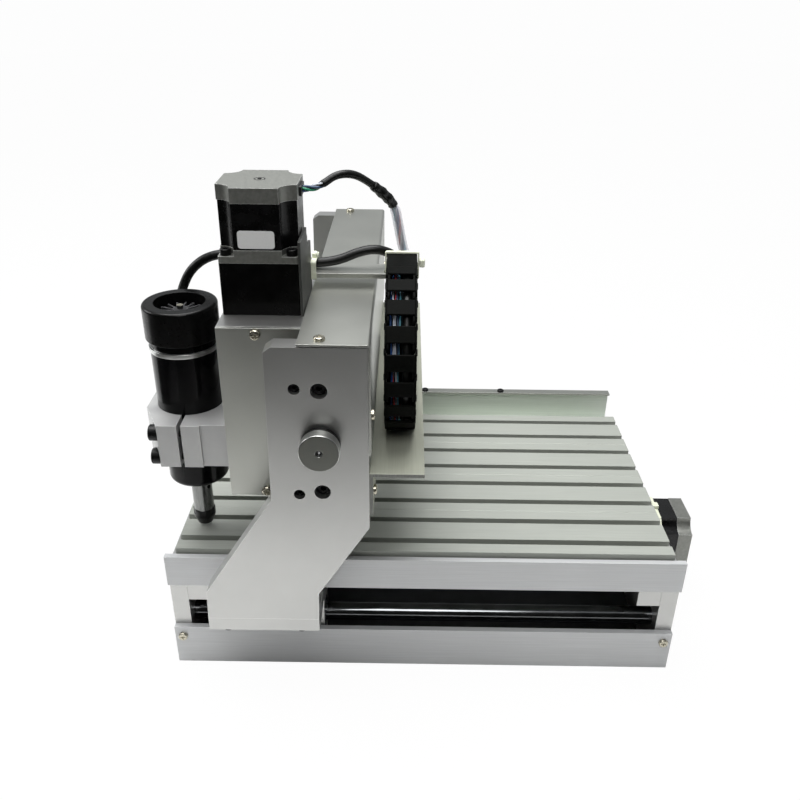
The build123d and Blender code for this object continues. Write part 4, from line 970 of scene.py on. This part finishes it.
def white_to_camera(tree, shader_output, target):
    """The camera sees nearly plain white, everything else sees the lit surface."""
    path = tree.nodes.new("ShaderNodeLightPath")
    glow = tree.nodes.new("ShaderNodeEmission")
    glow.inputs["Color"].default_value = (1, 1, 1, 1)
    mix = tree.nodes.new("ShaderNodeMixShader")
    share = tree.nodes.new("ShaderNodeMath")
    share.operation = "MULTIPLY"
    share.inputs[1].default_value = WHITE_SHARE
    tree.links.new(path.outputs["Is Camera Ray"], share.inputs[0])
    tree.links.new(share.outputs["Value"], mix.inputs["Fac"])
    tree.links.new(shader_output, mix.inputs[1])
    tree.links.new(glow.outputs["Emission"], mix.inputs[2])
    tree.links.new(mix.outputs["Shader"], target)


def dark_card(name, corners, axis=None, fade=None):
    """Dark card that only reflections see. It can fade in along an axis, from start to end."""
    mesh = bpy.data.meshes.new(name)
    mesh.from_pydata(corners, [], [(0, 1, 2, 3)])
    card = bpy.data.objects.new(name, mesh)
    scene.collection.objects.link(card)
    material, tree, shader = new_look(name + "_cloth", 0.0)
    tree.links.new(ramp(tree, noise_fac(tree, 8), [(0.3, srgb("0c0c0a")), (0.7, srgb("16150f"))]),
                   shader.inputs["Base Color"])
    shader.inputs["Roughness"].default_value = 0.9
    if fade:
        coords = tree.nodes.new("ShaderNodeTexCoord")
        split = tree.nodes.new("ShaderNodeSeparateXYZ")
        tree.links.new(coords.outputs["Object"], split.inputs["Vector"])
        tree.links.new(remap(tree, split.outputs[axis], 0.0, 0.97, span=fade),
                       shader.inputs["Alpha"])
    mesh.materials.append(material)
    card.visible_camera = False
    card.visible_shadow = False


def floor_card(name, x, y, height, axis, fade):
    corners = [(x[0], y[0], height), (x[1], y[0], height), (x[1], y[1], height), (x[0], y[1], height)]
    dark_card(name, corners, axis, fade)


def wall_card(name, start, end):
    """Upright card from the floor to WALL_TOP, between two points of the floor."""
    dark_card(name, [(*start, 0.0), (*end, 0.0), (*end, WALL_TOP), (*start, WALL_TOP)])


def make_cards():
    """Dark surroundings in front and at both sides, for the shading of the upright metal faces."""
    floor_card("front_card", (0.32, 3.0), (-WALL_Y, WALL_Y), 0.002, "X", (0.37, 0.74))
    floor_card("left_card", (0.0, 3.0), (-WALL_Y, -0.4), 0.003, "Y", (-0.48, -0.66))
    wall_card("front_wall", (WALL_X, -WALL_Y), (WALL_X, WALL_Y))
    wall_card("left_wall", (-0.1, -WALL_Y), (WALL_X, -WALL_Y))
    wall_card("right_wall", (0.5, WALL_Y), (WALL_X, WALL_Y))


def make_floor():
    shape = bmesh.new()
    bmesh.ops.create_circle(shape, cap_ends=True, segments=96, radius=6.0)
    mesh = bpy.data.meshes.new("floor")
    shape.to_mesh(mesh)
    shape.free()
    floor = bpy.data.objects.new("floor", mesh)
    scene.collection.objects.link(floor)
    floor.location.z = cad_box[0].z - 0.0002
    material, tree, shader = new_look("floor_paper", 0.0)
    tone = noise_fac(tree, 6)
    tree.links.new(ramp(tree, tone, [(0.3, srgb("e9e9e8")), (0.7, srgb("f2f2f1"))]),
                   shader.inputs["Base Color"])
    shader.inputs["Roughness"].default_value = 0.8
    white_to_camera(tree, shader.outputs["BSDF"], tree.nodes["Material Output"].inputs["Surface"])
    mesh.materials.append(material)


def make_world():
    world = bpy.data.worlds.new("studio")
    scene.world = world
    world.use_nodes = True
    tree = world.node_tree
    background = tree.nodes["Background"]
    background.inputs["Color"].default_value = (0.95, 0.98, 1.0, 1)
    background.inputs["Strength"].default_value = 0.45
    white_to_camera(tree, background.outputs["Background"],
                    tree.nodes["World Output"].inputs["Surface"])
    scene.view_settings.view_transform = "Standard"


def make_lights():
    area_light("key", (-0.08, -0.22, 1.5), (0.05, 0, 0.1), 1.3, 30)
    area_light("fill", (-0.2, -1.5, 0.9), (0, 0, 0.15), 0.8, 8)
    area_light("floor_light", (0.8, 0.0, 1.1), (0.25, 0, 0), 0.5, 3.6)


make_camera()
make_floor()
make_world()
make_cards()
make_lights()
looks = make_looks()
drag_chain(looks)
motor_lead(looks)
spindle_lead(looks)
motor_label(looks)
motor_recess_shade(looks)
knob_shade_ring(looks)
motor_socket(looks)
threaded("y_leadscrew", "y_screw", "Y", Y_THREAD, looks)
threaded("x_leadscrew", "x_screw", "X", X_THREAD, looks)
threaded("z_leadscrew", "z_screw", "Z", Z_THREAD, looks)
finish_nodes(looks)
